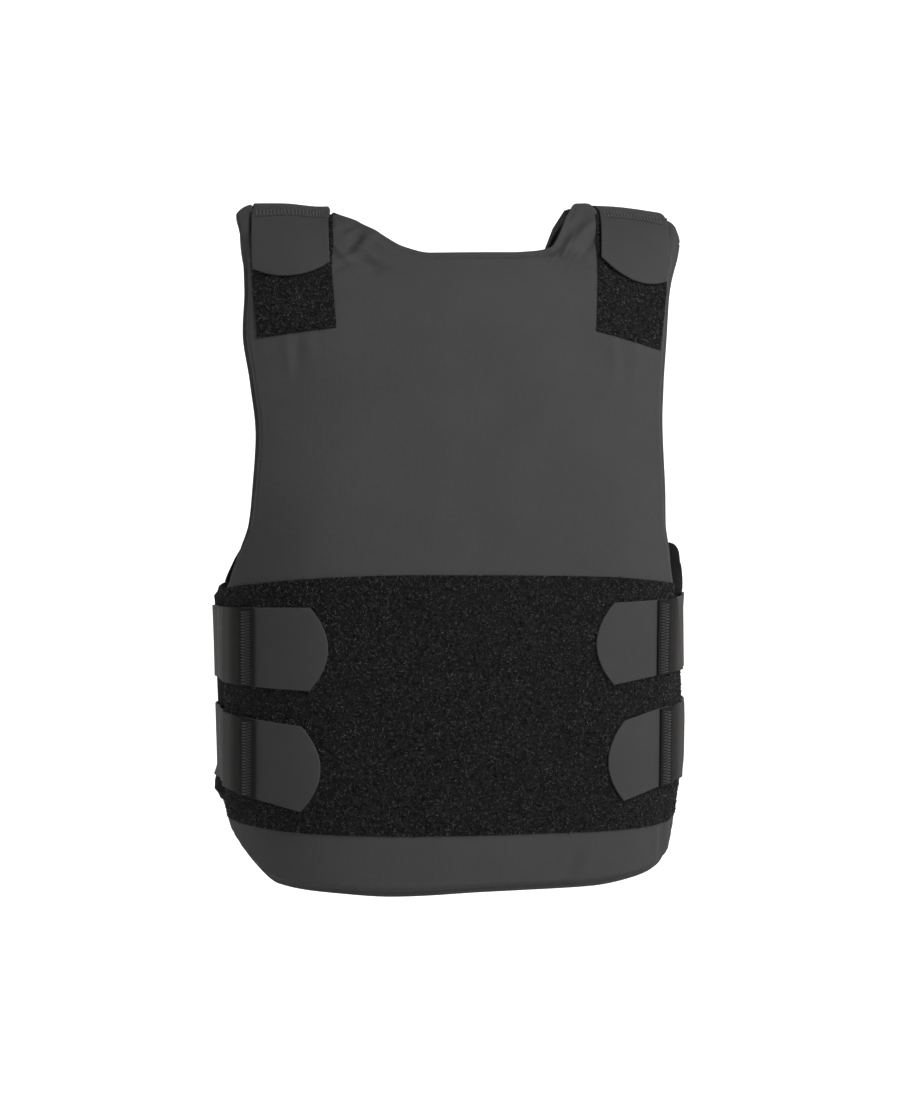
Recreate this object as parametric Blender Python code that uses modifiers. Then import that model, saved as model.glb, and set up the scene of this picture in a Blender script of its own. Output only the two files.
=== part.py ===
"""Concealable soft body armour vest: two padded panels, loop bands, shoulder straps and side straps."""
import bmesh
import bpy
import numpy as np
from math import pi

# Driving dimensions, metres
SHOULDER_RADIUS = 0.150      # height over which the chest rolls back into the shoulder top
FRONT_PAD = 0.0080           # thickness of the front panel over its insert
BACK_PAD = 0.0065            # thickness of the back panel over its insert
PANEL_MARGIN = 0.012         # border of bare cloth round each insert
MARGIN_SHARE = 0.45          # thickness of that border, as a share of the padding
LOOP_THICK = 0.0018          # loop bands and loop patches
TAB_THICK = 0.0018           # hook tabs
STRAP_THICK = 0.0020         # elastic straps
BORDER_SPARE = 0.003         # how much further in a layer on the border is taken to lie
SEAT_GAP = 0.0005            # air between two layers that lie on each other
PANEL_GAP = 0.0016           # air between the front panel and the back panel's wings
STRAP_END = 0.125            # where the side straps are sewn to the back, from its centre line
PANEL_RIM = 0.0015           # rounding along the panels' edges

# One torso form carries every layer
# height, half width, front depth, back depth, squareness
SECTIONS = np.array([
    (-0.600, 0.172, 0.108, 0.096, 2.35),
    (-0.500, 0.176, 0.114, 0.096, 2.35),
    (-0.400, 0.179, 0.119, 0.096, 2.35),
    (-0.310, 0.182, 0.121, 0.100, 2.40),
    (-0.240, 0.198, 0.118, 0.106, 2.45),
    (-0.150, 0.214, 0.110, 0.106, 2.50),
    (0.000, 0.216, 0.104, 0.102, 2.50),
])
SHOULDER_RUN = SHOULDER_RADIUS * (pi / 2 - 1)    # run at the crest of the shoulders

# place across the shoulders, how far the crest drops there
SHOULDER_DROP = np.array([
    (-0.180, 0.0050),
    (-0.120, 0.0035),
    (0.080, 0.0000),
    (0.130, 0.0005),
    (0.185, 0.0060),
])

# Front panel: run up the chest, left edge and right edge from the centre line
FRONT_SIDES = np.array([
    (-0.540, -0.190, 0.172),
    (-0.503, -0.198, 0.175),
    (-0.480, -0.203, 0.180),
    (-0.455, -0.206, 0.186),
    (-0.425, -0.206, 0.189),
    (-0.391, -0.206, 0.187),
    (-0.345, -0.206, 0.180),
    (-0.305, -0.204, 0.172),
    (-0.273, -0.186, 0.164),
    (-0.253, -0.175, 0.158),
    (-0.235, -0.170, 0.156),
    (-0.190, -0.167, 0.155),
    (-0.144, -0.172, 0.157),
    (-0.106, -0.177, 0.162),
    (-0.066, -0.176, 0.169),
    (-0.015, -0.175, 0.180),
    (0.030, -0.177, 0.184),
])

# share of the width from the left edge, run of the hem
FRONT_HEM = np.array([
    (0.000, -0.489),
    (0.019, -0.505),
    (0.049, -0.519),
    (0.110, -0.535),
    (0.250, -0.540),
    (0.350, -0.542),
    (0.540, -0.539),
    (0.775, -0.537),
    (0.862, -0.533),
    (0.940, -0.524),
    (0.975, -0.511),
    (1.000, -0.482),
])

# share of the width from the left edge, run of the neckline and shoulder tops
FRONT_TOP = np.array([
    (0.000, 0.025),
    (0.020, 0.046),
    (0.050, 0.072),
    (0.090, 0.080),
    (0.180, 0.080),
    (0.205, 0.036),
    (0.260, 0.008),
    (0.310, -0.012),
    (0.360, -0.027),
    (0.420, -0.031),
    (0.600, -0.030),
    (0.655, -0.024),
    (0.690, -0.020),
    (0.732, 0.028),
    (0.780, 0.074),
    (0.820, 0.080),
    (0.930, 0.074),
    (0.965, 0.048),
    (0.989, 0.026),
    (1.000, -0.002),
])

# Back panel: level, half width of its body from the centre line
BACK_SIDES = np.array([
    (-0.550, 0.150),
    (-0.520, 0.180),
    (-0.490, 0.196),
    (-0.470, 0.203),
    (-0.300, 0.205),
    (-0.280, 0.190),
    (-0.255, 0.166),
    (-0.220, 0.150),
    (-0.170, 0.143),
    (-0.100, 0.150),
    (-0.040, 0.163),
    (0.000, 0.168),
    (0.080, 0.172),
])

# share of the half width from the centre line, level of the back's neckline and shoulder tops
BACK_TOP = np.array([
    (0.000, -0.022),
    (0.300, -0.018),
    (0.460, -0.004),
    (0.530, 0.014),
    (0.575, 0.044),
    (0.610, 0.076),
    (0.650, 0.080),
    (0.880, 0.080),
    (0.960, 0.062),
    (1.000, 0.030),
])

# share of the half width from the centre line, level of the back's hem
BACK_HEM = np.array([
    (0.000, -0.548),
    (0.500, -0.547),
    (0.800, -0.540),
    (0.930, -0.526),
    (1.000, -0.505),
])

# share of the wing's length from the body, level of its lower and upper edge
WINGS = np.array([
    (0.000, -0.474, -0.300),
    (0.250, -0.476, -0.304),
    (0.450, -0.478, -0.292),
    (0.600, -0.479, -0.281),
    (0.860, -0.479, -0.265),
    (1.000, -0.474, -0.266),
])
FRONT_WIDTH = 0.370          # the front panel's width at the waist, along the body
FRONT_LENGTH = 0.610         # the front panel's length from the hem to the shoulder tops
FRONT_WAIST = 0.34           # share of that length up to the waist
WAIST_ROWS = (6, 17)         # rows of faces below the waist and above it
RIDE_REACH = (0.040, 0.140)  # from the centre line, where the front panel starts to ride up, and is up
RIDE_RUN = (-0.245, -0.160)  # runs between which it comes down to the body again, over the wings' tops
BACK_WIDTH = 0.390           # the width of the back panel's body at the waist
BACK_FACE = 0.023            # width of the faces across it
# height of each stretch of the back and of its faces: armholes, wings, hem
BACK_STRETCHES = ((0.38, 0.024), (0.18, 0.039), (0.07, 0.046))
WING_END = 0.150             # where the wings stop under the front panel, from the front's centre line
WING_FACES = 9               # faces along a wing, up to its thin end
WING_FULL = 0.88             # share of a wing's length over which it is padded
WING_BOW = 0.004             # how far the wings stand off the body at its sides
BOW_REACH = (0.200, 0.250, 0.340)    # start, peak and end of that, from the front's centre line
BOW_RUN = (-0.290, -0.220)   # runs between which it fades out upward
WAIST = -0.390               # run at which the straps' lengths are taken

# Loop bands on the front: share of the width, top edge, seam between the rows, bottom edge
LOOP_LEVELS = np.array([
    (0.000, -0.303, -0.394, -0.483),
    (0.060, -0.300, -0.394, -0.488),
    (0.200, -0.296, -0.394, -0.492),
    (0.400, -0.294, -0.395, -0.494),
    (0.800, -0.295, -0.396, -0.493),
    (0.950, -0.298, -0.396, -0.490),
    (1.000, -0.300, -0.396, -0.480),
])
LOOP_INSET = 0.0015          # cloth left showing beside the bands

# Side straps: side, corners and bulge of the tab's tip, edge of the elastic on it, and the levels
# of the top and bottom edges at the tip, at that edge, at the silhouette and at the sewn end
SIDE_STRAPS = {
    "left_upper": dict(side=-1, tip=0.122, bulge=0.013, lap=0.164,
                       top=(-0.318, -0.318, -0.318, -0.322), bottom=(-0.382, -0.380, -0.376, -0.380)),
    "left_lower": dict(side=-1, tip=0.128, bulge=0.014, lap=0.163,
                       top=(-0.409, -0.405, -0.398, -0.396), bottom=(-0.475, -0.467, -0.456, -0.454)),
    "right_upper": dict(side=1, tip=0.106, bulge=0.014, lap=0.143,
                        top=(-0.315, -0.313, -0.308, -0.322), bottom=(-0.379, -0.373, -0.366, -0.380)),
    "right_lower": dict(side=1, tip=0.115, bulge=0.013, lap=0.147,
                        top=(-0.407, -0.399, -0.392, -0.396), bottom=(-0.470, -0.461, -0.452, -0.454)),
}
TAB_LAP = 0.012              # length of tab that lies under the elastic
STRAP_SETTLE = 0.040         # distance past the front panel's edge over which the elastic comes down
STEP_ROOM = 0.001            # shortest distance between two steps of the elastic
SILHOUETTE = 0.235           # distance from the front's centre line to the body's side

# Shoulder straps: run, inner and outer edge of the left one and of the right one
SHOULDER_STRAPS = np.array([
    (-0.118, -0.103, -0.163, 0.099, 0.152),
    (-0.050, -0.105, -0.166, 0.105, 0.163),
    (0.014, -0.105, -0.166, 0.114, 0.171),
    (0.050, -0.104, -0.167, 0.117, 0.174),
    (0.150, -0.100, -0.160, 0.106, 0.164),
])
# patch: runs of its lower corners; tab: runs of its lower corners, and the bulge between them
SHOULDER_ENDS = {
    "left": dict(patch=(-0.103, -0.111), tab=(-0.042, -0.049), bulge=0.012),
    "right": dict(patch=(-0.104, -0.117), tab=(-0.037, -0.056), bulge=0.013),
}
PATCH_TOP = 0.003            # run of the loop patches' upper end
TAB_TOP = 0.036              # run of the hook tabs' upper end, near the crest
STRAP_FRONT = 0.006          # run where the shoulder straps start, under the tabs
STRAP_BACK = 0.150           # run where they are sewn down, on the back
STRAP_SINK = 0.0010          # how much lower they lie there, on the thinner back panel

# colour and roughness of each cloth
CLOTH = ((0.068, 0.066, 0.067), 0.85)
HOOK_CLOTH = ((0.075, 0.073, 0.073), 0.80)
LOOP_PILE = ((0.014, 0.014, 0.015), 0.95)
ELASTIC = ((0.085, 0.080, 0.075), 0.80)


def value(table, column, at):
    """A table's column read at a position, on a smooth curve that never overshoots its rows."""
    rows, numbers = table[:, 0], table[:, column]
    at = np.clip(np.asarray(at, float), rows[0], rows[-1])
    steps = np.diff(rows)
    slopes = np.diff(numbers) / steps
    tangents = np.concatenate([slopes[:1], np.zeros(len(slopes) - 1), slopes[-1:]])
    for row in range(1, len(slopes)):
        before, after = slopes[row - 1], slopes[row]
        if before * after > 0:
            near = 2 * steps[row] + steps[row - 1]
            far = steps[row] + 2 * steps[row - 1]
            tangents[row] = (near + far) / (near / before + far / after)
    cell = np.clip(np.searchsorted(rows, at, side="right") - 1, 0, len(steps) - 1)
    part = (at - rows[cell]) / steps[cell]
    start = (2 * part ** 3 - 3 * part ** 2 + 1) * numbers[cell]
    leave = (part ** 3 - 2 * part ** 2 + part) * steps[cell] * tangents[cell]
    end = (3 * part ** 2 - 2 * part ** 3) * numbers[cell + 1]
    arrive = (part ** 3 - part ** 2) * steps[cell] * tangents[cell + 1]
    return start + leave + end + arrive


def ease(low, high, at):
    """Smooth step from 0 at low to 1 at high."""
    part = np.clip((np.asarray(at, float) - low) / (high - low), 0, 1)
    return part * part * (3 - 2 * part)


def climb_of(run):
    """Run folded at the crest: the same number in front and behind."""
    return np.minimum(run, 2 * SHOULDER_RUN - run)


def outline(run):
    """Half outline of the torso form at each run: across, deep, and the tape length along it.

    It starts at the near centre line, the front's or the back's, and ends at the far one.
    """
    climb = climb_of(run)
    turn = np.clip((climb + SHOULDER_RADIUS) / SHOULDER_RADIUS, 0, pi / 2)
    level = np.where(climb <= -SHOULDER_RADIUS, climb, SHOULDER_RADIUS * (np.sin(turn) - 1))
    behind = run > SHOULDER_RUN
    front = value(SECTIONS, 2, level) * np.cos(turn)
    back = value(SECTIONS, 3, level) * np.cos(turn)
    half = value(SECTIONS, 1, level)[..., None]
    near = np.where(behind, back, front)[..., None]
    far = np.where(behind, front, back)[..., None]
    power = 2 / value(SECTIONS, 4, level)[..., None]
    quarter = pi / 4 * (1 - np.cos(np.linspace(0, pi, 90)))
    sines, cosines = np.sin(quarter) ** power, np.cos(quarter) ** power
    across = np.concatenate([half * sines, (half * sines)[..., -2::-1]], axis=-1)
    deep = np.concatenate([-near * cosines, (far * cosines)[..., -2::-1]], axis=-1)
    tape = np.cumsum(np.hypot(np.diff(across), np.diff(deep)), axis=-1)
    tape = np.concatenate([np.zeros(tape.shape[:-1] + (1,)), tape], axis=-1)
    return level, across, deep, tape


def torso(around, run):
    """Points on the torso form.

    around is measured along the body from its centre line, + to the right as seen from the front.
    run goes up the front to SHOULDER_RUN at the crest, and on down the back.
    """
    around, run = np.broadcast_arrays(np.asarray(around, float), np.asarray(run, float))
    level, across, deep, tape = outline(run)
    place = np.empty(around.shape + (3,))
    for cell in np.ndindex(around.shape):
        reach = abs(around[cell])
        place[cell][0] = np.interp(reach, tape[cell], across[cell]) * np.sign(around[cell])
        place[cell][1] = np.interp(reach, tape[cell], deep[cell])
    place[..., 1] *= np.where(run > SHOULDER_RUN, -1, 1)
    drop = value(SHOULDER_DROP, 1, place[..., 0]) * ease(-SHOULDER_RADIUS, 0, level)
    place[..., 2] = level - drop
    return place


def half_girth(run):
    """Tape length round the body from the front's centre line to the back's."""
    return outline(np.asarray(run, float))[3][..., -1]


def skin(around, run, height, nudge=0.002):
    """Points held a height above the torso form, along its outward normal."""
    sideways = torso(around + nudge, run) - torso(around - nudge, run)
    upward = torso(around, run + nudge) - torso(around, run - nudge)
    outward = np.cross(sideways, upward)
    outward /= np.linalg.norm(outward, axis=-1, keepdims=True)
    return torso(around, run) + outward * np.broadcast_to(height, around.shape)[..., None]


def graded(length, margin, step):
    """Shares of a length: a line on each margin, and even cells of about a step between them."""
    cells = max(1, int(round((length - 2 * margin) / step)))
    inner = np.linspace(margin / length, 1 - margin / length, cells + 1)
    return np.concatenate([[0], inner, [1]])


def front_columns(cells=24):
    """Shares of the front's width: a line on each margin, and narrower cells toward both sides."""
    swing = np.sin(np.linspace(-1, 1, cells + 1)) / np.sin(1)
    margin = PANEL_MARGIN / FRONT_WIDTH
    return np.concatenate([[0], 0.5 + (0.5 - margin) * swing, [1]])


def front_base(around, run):
    """Height of the front panel's inner face: it rides over the wings at both sides."""
    sides = ease(*RIDE_REACH, np.abs(around))
    return (BACK_PAD + PANEL_GAP) * sides * (1 - ease(*RIDE_RUN, run))


def wing_bow(reach, run):
    """Height of the wings' inner face, at a distance from the front's centre line."""
    start, peak, end = BOW_REACH
    across = ease(start, peak, reach) * (1 - ease(peak, end, reach))
    return WING_BOW * across * (1 - ease(*BOW_RUN, run))


def front_edges(run):
    """Left and right edge of the front panel at a run."""
    return value(FRONT_SIDES, 1, run), value(FRONT_SIDES, 2, run)


def front_face(around, run):
    """Height at which a layer clears the front panel's face, which slopes down to its borders."""
    left, right = front_edges(run)
    inside = np.minimum(around - left, right - around) + BORDER_SPARE
    inside = np.clip(inside / PANEL_MARGIN, 0, 1)
    return front_base(around, run) + FRONT_PAD * (MARGIN_SHARE + (1 - MARGIN_SHARE) * inside)


def plain_material(name, finish):
    """A Principled BSDF for one piece."""
    colour, roughness = finish
    material = bpy.data.materials.new(name)
    material.use_nodes = True
    shader = material.node_tree.nodes["Principled BSDF"]
    shader.inputs["Base Color"].default_value = (*colour, 1.0)
    shader.inputs["Roughness"].default_value = roughness
    shader.inputs["Metallic"].default_value = 0.0
    material.diffuse_color = (*colour, 1.0)
    return material


def cloth_solid(name, points, thickness, finish, keep=None, border=1.0):
    """An open grid of points made into a wall that grows outward from them.

    keep marks the grid's faces that are used; border is the wall's share of thickness at its edges.
    """
    rows, columns = points.shape[:2]
    if keep is None:
        keep = np.ones((rows - 1, columns - 1), bool)
    sheet = bmesh.new()
    grid = {}
    for row, column in zip(*np.nonzero(keep)):
        for cell in ((row, column), (row, column + 1), (row + 1, column + 1), (row + 1, column)):
            if cell not in grid:
                grid[cell] = sheet.verts.new(points[cell])
        sheet.faces.new([grid[row, column], grid[row, column + 1],
                         grid[row + 1, column + 1], grid[row + 1, column]])
    sheet.verts.index_update()
    inside = [vert.index for vert in sheet.verts if not vert.is_boundary]
    mesh = bpy.data.meshes.new(name)
    sheet.to_mesh(mesh)
    sheet.free()
    piece = bpy.data.objects.new(name, mesh)
    vest.objects.link(piece)
    mesh.materials.append(plain_material(name, finish))
    padding = piece.vertex_groups.new(name="padding")
    padding.add(inside, 1.0, "REPLACE")
    wall = piece.modifiers.new("wall", "SOLIDIFY")
    wall.thickness = thickness
    wall.offset = 1.0
    wall.use_even_offset = False
    if border < 1.0:
        wall.vertex_group = padding.name
        wall.thickness_vertex_group = border
        edge = piece.modifiers.new("edge", "BEVEL")
        edge.width = PANEL_RIM
        edge.segments = 1
        edge.limit_method = "ANGLE"
        edge.angle_limit = pi / 4
    mesh.shade_smooth()
    mesh.set_sharp_from_angle(angle=pi / 4)
    return piece


def front_panel():
    """Padded front panel, from the hem up to the shoulder tops."""
    across = front_columns()
    margin = PANEL_MARGIN / FRONT_LENGTH
    below_waist = np.linspace(margin, FRONT_WAIST, WAIST_ROWS[0] + 1)
    above_waist = np.linspace(FRONT_WAIST, 1 - margin, WAIST_ROWS[1] + 1)
    upward = np.concatenate([[0], below_waist, above_waist[1:], [1]])
    share, rise = np.meshgrid(across, upward)
    hem, top = value(FRONT_HEM, 1, share), value(FRONT_TOP, 1, share)
    run = hem + (top - hem) * rise
    left, right = front_edges(run)
    width = right - left
    around = left + width * share
    around[:, 1] = left[:, 1] + PANEL_MARGIN
    around[:, -2] = right[:, -2] - PANEL_MARGIN
    points = skin(around, run, front_base(around, run))
    return cloth_solid("front_panel", points, FRONT_PAD, CLOTH, border=MARGIN_SHARE)


def back_panel():
    """Padded back panel, with a wing on each side that wraps forward under the front panel."""
    body = graded(BACK_WIDTH, PANEL_MARGIN, BACK_FACE) * 2 - 1
    wing = np.concatenate([np.linspace(0, WING_FULL, WING_FACES + 1), [1]])[1:]
    reach = np.concatenate([-1 - wing[::-1], body, 1 + wing])
    on_body = np.clip(np.abs(reach), 0, 1)
    on_wing = np.clip(np.abs(reach) - 1, 0, 1)
    guides = [value(BACK_TOP, 1, on_body), value(WINGS, 2, on_wing),
              value(WINGS, 1, on_wing), value(BACK_HEM, 1, on_body)]
    zones = [graded(height, PANEL_MARGIN, face) for height, face in BACK_STRETCHES]
    zones = [zones[0][:-1], zones[1], zones[2][1:]]
    climb = [start + (end - start) * part
             for start, end, zone in zip(guides, guides[1:], zones) for part in zone]
    climb = np.array(climb)
    wing_rows = range(len(zones[0]), len(zones[0]) + len(zones[1]) - 1)
    run = 2 * SHOULDER_RUN - climb
    half = value(BACK_SIDES, 1, climb)
    span = half_girth(climb) - WING_END - half
    around = np.sign(reach) * (half * on_body + span * on_wing)
    points = skin(around, run, wing_bow(half_girth(climb) - np.abs(around), climb))
    keep = np.repeat([np.abs(reach[1:] + reach[:-1]) < 2], len(climb) - 1, axis=0)
    keep[list(wing_rows)] = True
    return cloth_solid("back_panel", points, BACK_PAD, CLOTH, keep=keep, border=MARGIN_SHARE)


def loop_band(name, upper, lower):
    """One row of loop fastener across the front panel, between two edges of LOOP_LEVELS."""
    share, rise = np.meshgrid(front_columns(), np.linspace(0, 1, 5))
    bottom = value(LOOP_LEVELS, lower, share) + SEAT_GAP * (lower == 2)
    top = value(LOOP_LEVELS, upper, share) - SEAT_GAP * (upper == 2)
    run = bottom + (top - bottom) * rise
    left, right = front_edges(run)
    around = left + (right - left) * share
    around[:, 0] += LOOP_INSET
    around[:, -1] -= LOOP_INSET
    around[:, 1] = left[:, 1] + PANEL_MARGIN
    around[:, -2] = right[:, -2] - PANEL_MARGIN
    points = skin(around, run, front_face(around, run) + SEAT_GAP)
    return cloth_solid(name, points, LOOP_THICK, LOOP_PILE)


def side_levels(strap, around):
    """Top and bottom edge of a side strap at a distance from the front's centre line."""
    stations = np.array([strap["tip"], strap["lap"], SILHOUETTE, half_girth(WAIST) - STRAP_END])
    edges = np.column_stack([stations, strap["top"], strap["bottom"]])
    return value(edges, 1, around), value(edges, 2, around)


def side_tab(name, strap):
    """Hook tab with a rounded tip, pressed onto the loop bands."""
    share, rise = np.meshgrid(np.linspace(0, 1, 7), np.linspace(0, 1, 7))
    bow = strap["bulge"] * (1 - (2 * rise - 1) ** 2)
    tip = strap["tip"] - bow
    reach = tip + (strap["lap"] + TAB_LAP - tip) * share
    top, bottom = side_levels(strap, reach)
    run = bottom + (top - bottom) * rise
    height = front_base(reach, run) + FRONT_PAD + LOOP_THICK + 2 * SEAT_GAP
    around = strap["side"] * reach
    if strap["side"] < 0:
        around, run, height = around[:, ::-1], run[:, ::-1], height[:, ::-1]
    return cloth_solid(name, skin(around, run, height), TAB_THICK, HOOK_CLOTH)


def side_strap(name, strap):
    """Elastic from its lap on the hook tab, over the front panel's edge and round to the back."""
    rise = np.linspace(0, 1, 4)[:, None]
    top, bottom = side_levels(strap, SILHOUETTE)
    edge = np.abs(front_edges(bottom + (top - bottom) * rise)[(strap["side"] + 1) // 2])
    tab_end = strap["lap"] + TAB_LAP
    slope = np.maximum(edge - PANEL_MARGIN + BORDER_SPARE, tab_end + STEP_ROOM)
    settled = edge + STRAP_SETTLE
    end = half_girth(WAIST) - STRAP_END
    knots = [strap["lap"], tab_end, slope, edge, settled, end]
    knots = np.concatenate([np.broadcast_to(knot, rise.shape) for knot in knots], axis=1)
    cells = (1, 1, 1, 5, 10)
    reach = [knots[:, k, None] + (knots[:, k + 1] - knots[:, k])[:, None] * np.arange(cells[k]) / cells[k]
             for k in range(len(cells))]
    reach = np.concatenate(reach + [knots[:, -1:]], axis=1)
    top, bottom = side_levels(strap, reach)
    run = bottom + (top - bottom) * rise
    over_band = BACK_PAD + PANEL_GAP + LOOP_THICK + 2 * SEAT_GAP
    heights = [over_band + FRONT_PAD + TAB_THICK + SEAT_GAP] * 2
    border = MARGIN_SHARE + (1 - MARGIN_SHARE) * BORDER_SPARE / PANEL_MARGIN
    heights += [over_band + FRONT_PAD + SEAT_GAP, over_band + FRONT_PAD * border + SEAT_GAP]
    heights += [BACK_PAD + SEAT_GAP] * 2
    height = np.array([np.interp(places, stations, heights) for places, stations in zip(reach, knots)])
    height = np.maximum(height, BACK_PAD + SEAT_GAP + wing_bow(reach, run))
    around = strap["side"] * reach
    if strap["side"] < 0:
        around, run, height = around[:, ::-1], run[:, ::-1], height[:, ::-1]
    return cloth_solid(name, skin(around, run, height), STRAP_THICK, ELASTIC)


def shoulder_grid(side, lower, upper, columns, rows, bulge=0.0):
    """A grid between the edges of one shoulder strap; lower gives the runs of its lower corners."""
    inner, outer = (1, 2) if side == "left" else (3, 4)
    share, rise = np.meshgrid(np.linspace(0, 1, columns), np.linspace(0, 1, rows))
    foot = lower[0] + (lower[1] - lower[0]) * share - bulge * (1 - (2 * share - 1) ** 2)
    run = foot + (upper - foot) * rise
    inner, outer = value(SHOULDER_STRAPS, inner, run), value(SHOULDER_STRAPS, outer, run)
    around = inner + (outer - inner) * share
    if side == "left":
        around, run = around[:, ::-1], run[:, ::-1]
    return around, run


def shoulder_patch(side):
    """Loop patch sewn on the front panel's shoulder, under the hook tab."""
    around, run = shoulder_grid(side, SHOULDER_ENDS[side]["patch"], PATCH_TOP, 7, 9)
    points = skin(around, run, front_face(around, run) + SEAT_GAP)
    return cloth_solid(f"shoulder_patch_{side}", points, LOOP_THICK, LOOP_PILE)


def shoulder_tab(side):
    """Hook tab with a rounded lower end, at the front end of a shoulder strap."""
    ends = SHOULDER_ENDS[side]
    around, run = shoulder_grid(side, ends["tab"], TAB_TOP, 9, 7, ends["bulge"])
    height = front_base(around, run) + FRONT_PAD + STRAP_THICK + 3 * SEAT_GAP
    return cloth_solid(f"shoulder_tab_{side}", skin(around, run, height), TAB_THICK, HOOK_CLOTH)


def shoulder_strap(side):
    """Strap from under the hook tab over the crest to its sewn end on the back."""
    around, run = shoulder_grid(side, (STRAP_FRONT, STRAP_FRONT), STRAP_BACK, 7, 13)
    height = SEAT_GAP + FRONT_PAD - STRAP_SINK * ease(SHOULDER_RUN, STRAP_BACK, run)
    return cloth_solid(f"shoulder_strap_{side}", skin(around, run, height), STRAP_THICK, ELASTIC)


for stale in list(bpy.data.objects):
    bpy.data.objects.remove(stale, do_unlink=True)
vest = bpy.data.collections.new("concealable_vest")
bpy.context.scene.collection.children.link(vest)

front_panel()
back_panel()
loop_band("loop_band_upper", 1, 2)
loop_band("loop_band_lower", 2, 3)
for strap_name, strap_sizes in SIDE_STRAPS.items():
    side_tab(f"side_tab_{strap_name}", strap_sizes)
    side_strap(f"side_strap_{strap_name}", strap_sizes)
for shoulder in SHOULDER_ENDS:
    shoulder_patch(shoulder)
    shoulder_tab(shoulder)
    shoulder_strap(shoulder)
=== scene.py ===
"""Concealable soft body armour vest: its cloth, pile, elastic and stitching, in place of the solids."""
from math import cos, pi, radians, sin, tau

import bpy
import numpy as np
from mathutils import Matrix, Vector


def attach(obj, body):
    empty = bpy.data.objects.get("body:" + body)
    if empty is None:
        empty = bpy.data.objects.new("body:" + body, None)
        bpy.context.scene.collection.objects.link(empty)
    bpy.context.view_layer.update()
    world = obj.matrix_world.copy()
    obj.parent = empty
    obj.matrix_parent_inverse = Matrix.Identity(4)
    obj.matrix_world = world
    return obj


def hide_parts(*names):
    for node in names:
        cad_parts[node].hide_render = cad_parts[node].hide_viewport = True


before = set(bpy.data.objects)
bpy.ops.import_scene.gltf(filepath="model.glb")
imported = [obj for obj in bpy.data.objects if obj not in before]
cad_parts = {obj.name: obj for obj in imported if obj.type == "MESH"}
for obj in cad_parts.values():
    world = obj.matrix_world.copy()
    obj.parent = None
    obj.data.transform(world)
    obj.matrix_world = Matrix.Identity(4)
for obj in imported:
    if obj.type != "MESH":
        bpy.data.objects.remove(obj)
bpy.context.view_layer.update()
MM = 0.001

# Camera: level, a little to the left of the vest's front
CAMERA_TURN = radians(9.0)
CAMERA_DISTANCE = 2.0
CAMERA_LEVEL = -0.2745
FRAME_HEIGHT = 1100
FOCAL_PIXELS = 2439
SENSOR = 36.0


def add_camera():
    """Camera at the photograph's viewing angle."""
    data = bpy.data.cameras.new("camera")
    data.sensor_width = SENSOR
    data.lens = FOCAL_PIXELS * SENSOR / FRAME_HEIGHT
    data.clip_end = 50.0
    camera = bpy.data.objects.new("camera", data)
    back = Vector((-sin(CAMERA_TURN), -cos(CAMERA_TURN), 0.0))
    camera.location = back * CAMERA_DISTANCE + Vector((0.0, 0.0, CAMERA_LEVEL))
    camera.rotation_euler = (-back).to_track_quat("-Z", "Y").to_euler()
    bpy.context.scene.collection.objects.link(camera)
    bpy.context.scene.camera = camera


add_camera()

# The wearer's form, which carries every layer
SHOULDER_RADIUS = 0.150      # height over which the chest rolls back into the shoulder top
SHOULDER_RUN = SHOULDER_RADIUS * (pi / 2 - 1)
# height, half width, front depth, back depth, squareness
SECTIONS = np.array([
    (-0.600, 0.172, 0.108, 0.096, 2.35),
    (-0.500, 0.176, 0.114, 0.096, 2.35),
    (-0.400, 0.179, 0.119, 0.096, 2.35),
    (-0.310, 0.182, 0.121, 0.100, 2.40),
    (-0.240, 0.198, 0.118, 0.106, 2.45),
    (-0.150, 0.214, 0.110, 0.106, 2.50),
    (0.000, 0.216, 0.104, 0.102, 2.50),
])
# place across the shoulders, how far the crest drops there
SHOULDER_DROP = np.array([
    (-0.180, 0.0050),
    (-0.138, 0.0040),
    (-0.110, 0.0060),
    (-0.080, 0.0045),
    (0.080, 0.0000),
    (0.130, 0.0005),
    (0.185, 0.0060),
])

# Layers
FRONT_PAD = 8.0 * MM         # front panel over its insert
BACK_PAD = 6.5 * MM          # back panel over its insert
SEAM = 3.0 * MM              # both panels at their sewn edges
SHOULDER_SEAM = 5.5 * MM     # how much fuller the edges are at the shoulder tops
SEAM_RUN = (-0.050, 0.006)   # runs between which they get fuller
SHOULDER_RISE = (1.6 * MM, 3.4 * MM)     # how much higher they are beside the straps, outside and inside
RISE_START = (0.0, 3.0 * MM)             # distances from the strap over which they rise
RISE_FADE = (0.060, 0.030)               # and over which they come down again
RISE_RUN = (-0.020, 0.015)
EDGE_ROUND = 4.0 * MM        # the thickest rounding of a panel's edge
PANEL_GAP = 1.6 * MM
BAND = 1.0 * MM              # ground cloth of the loop bands and patches
PILE = 0.8 * MM              # loops that stand on it
PRESSED_PILE = PILE * 0.8    # the same under a hook tab
TAB = 1.8 * MM
STRAP = 2.0 * MM
SEAT = 0.2 * MM              # air between layers

# Rough sizes of the pieces, and steps of their grids
FRONT_CUT = (0.370, 0.600)
FRONT_STEP = 2.3 * MM
BACK_CUT = (0.390, 0.200)    # width of the back's body, length of a wing
BACK_HEIGHTS = (0.38, 0.18, 0.07)        # above the wings, of the wings, below them
BACK_STEP = 3.3 * MM
BAND_CUT = (0.370, 0.095)
BAND_STEP = 3.0 * MM
PATCH_STEP = 2.5 * MM
TAB_WIDTH = 0.064
TAB_STEP = 1.8 * MM
STRAP_WIDTH = 0.062
STRAP_STEPS = (2.2 * MM, 2.0 * MM)       # along and across
SHOULDER_WIDTH = 0.060

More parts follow.
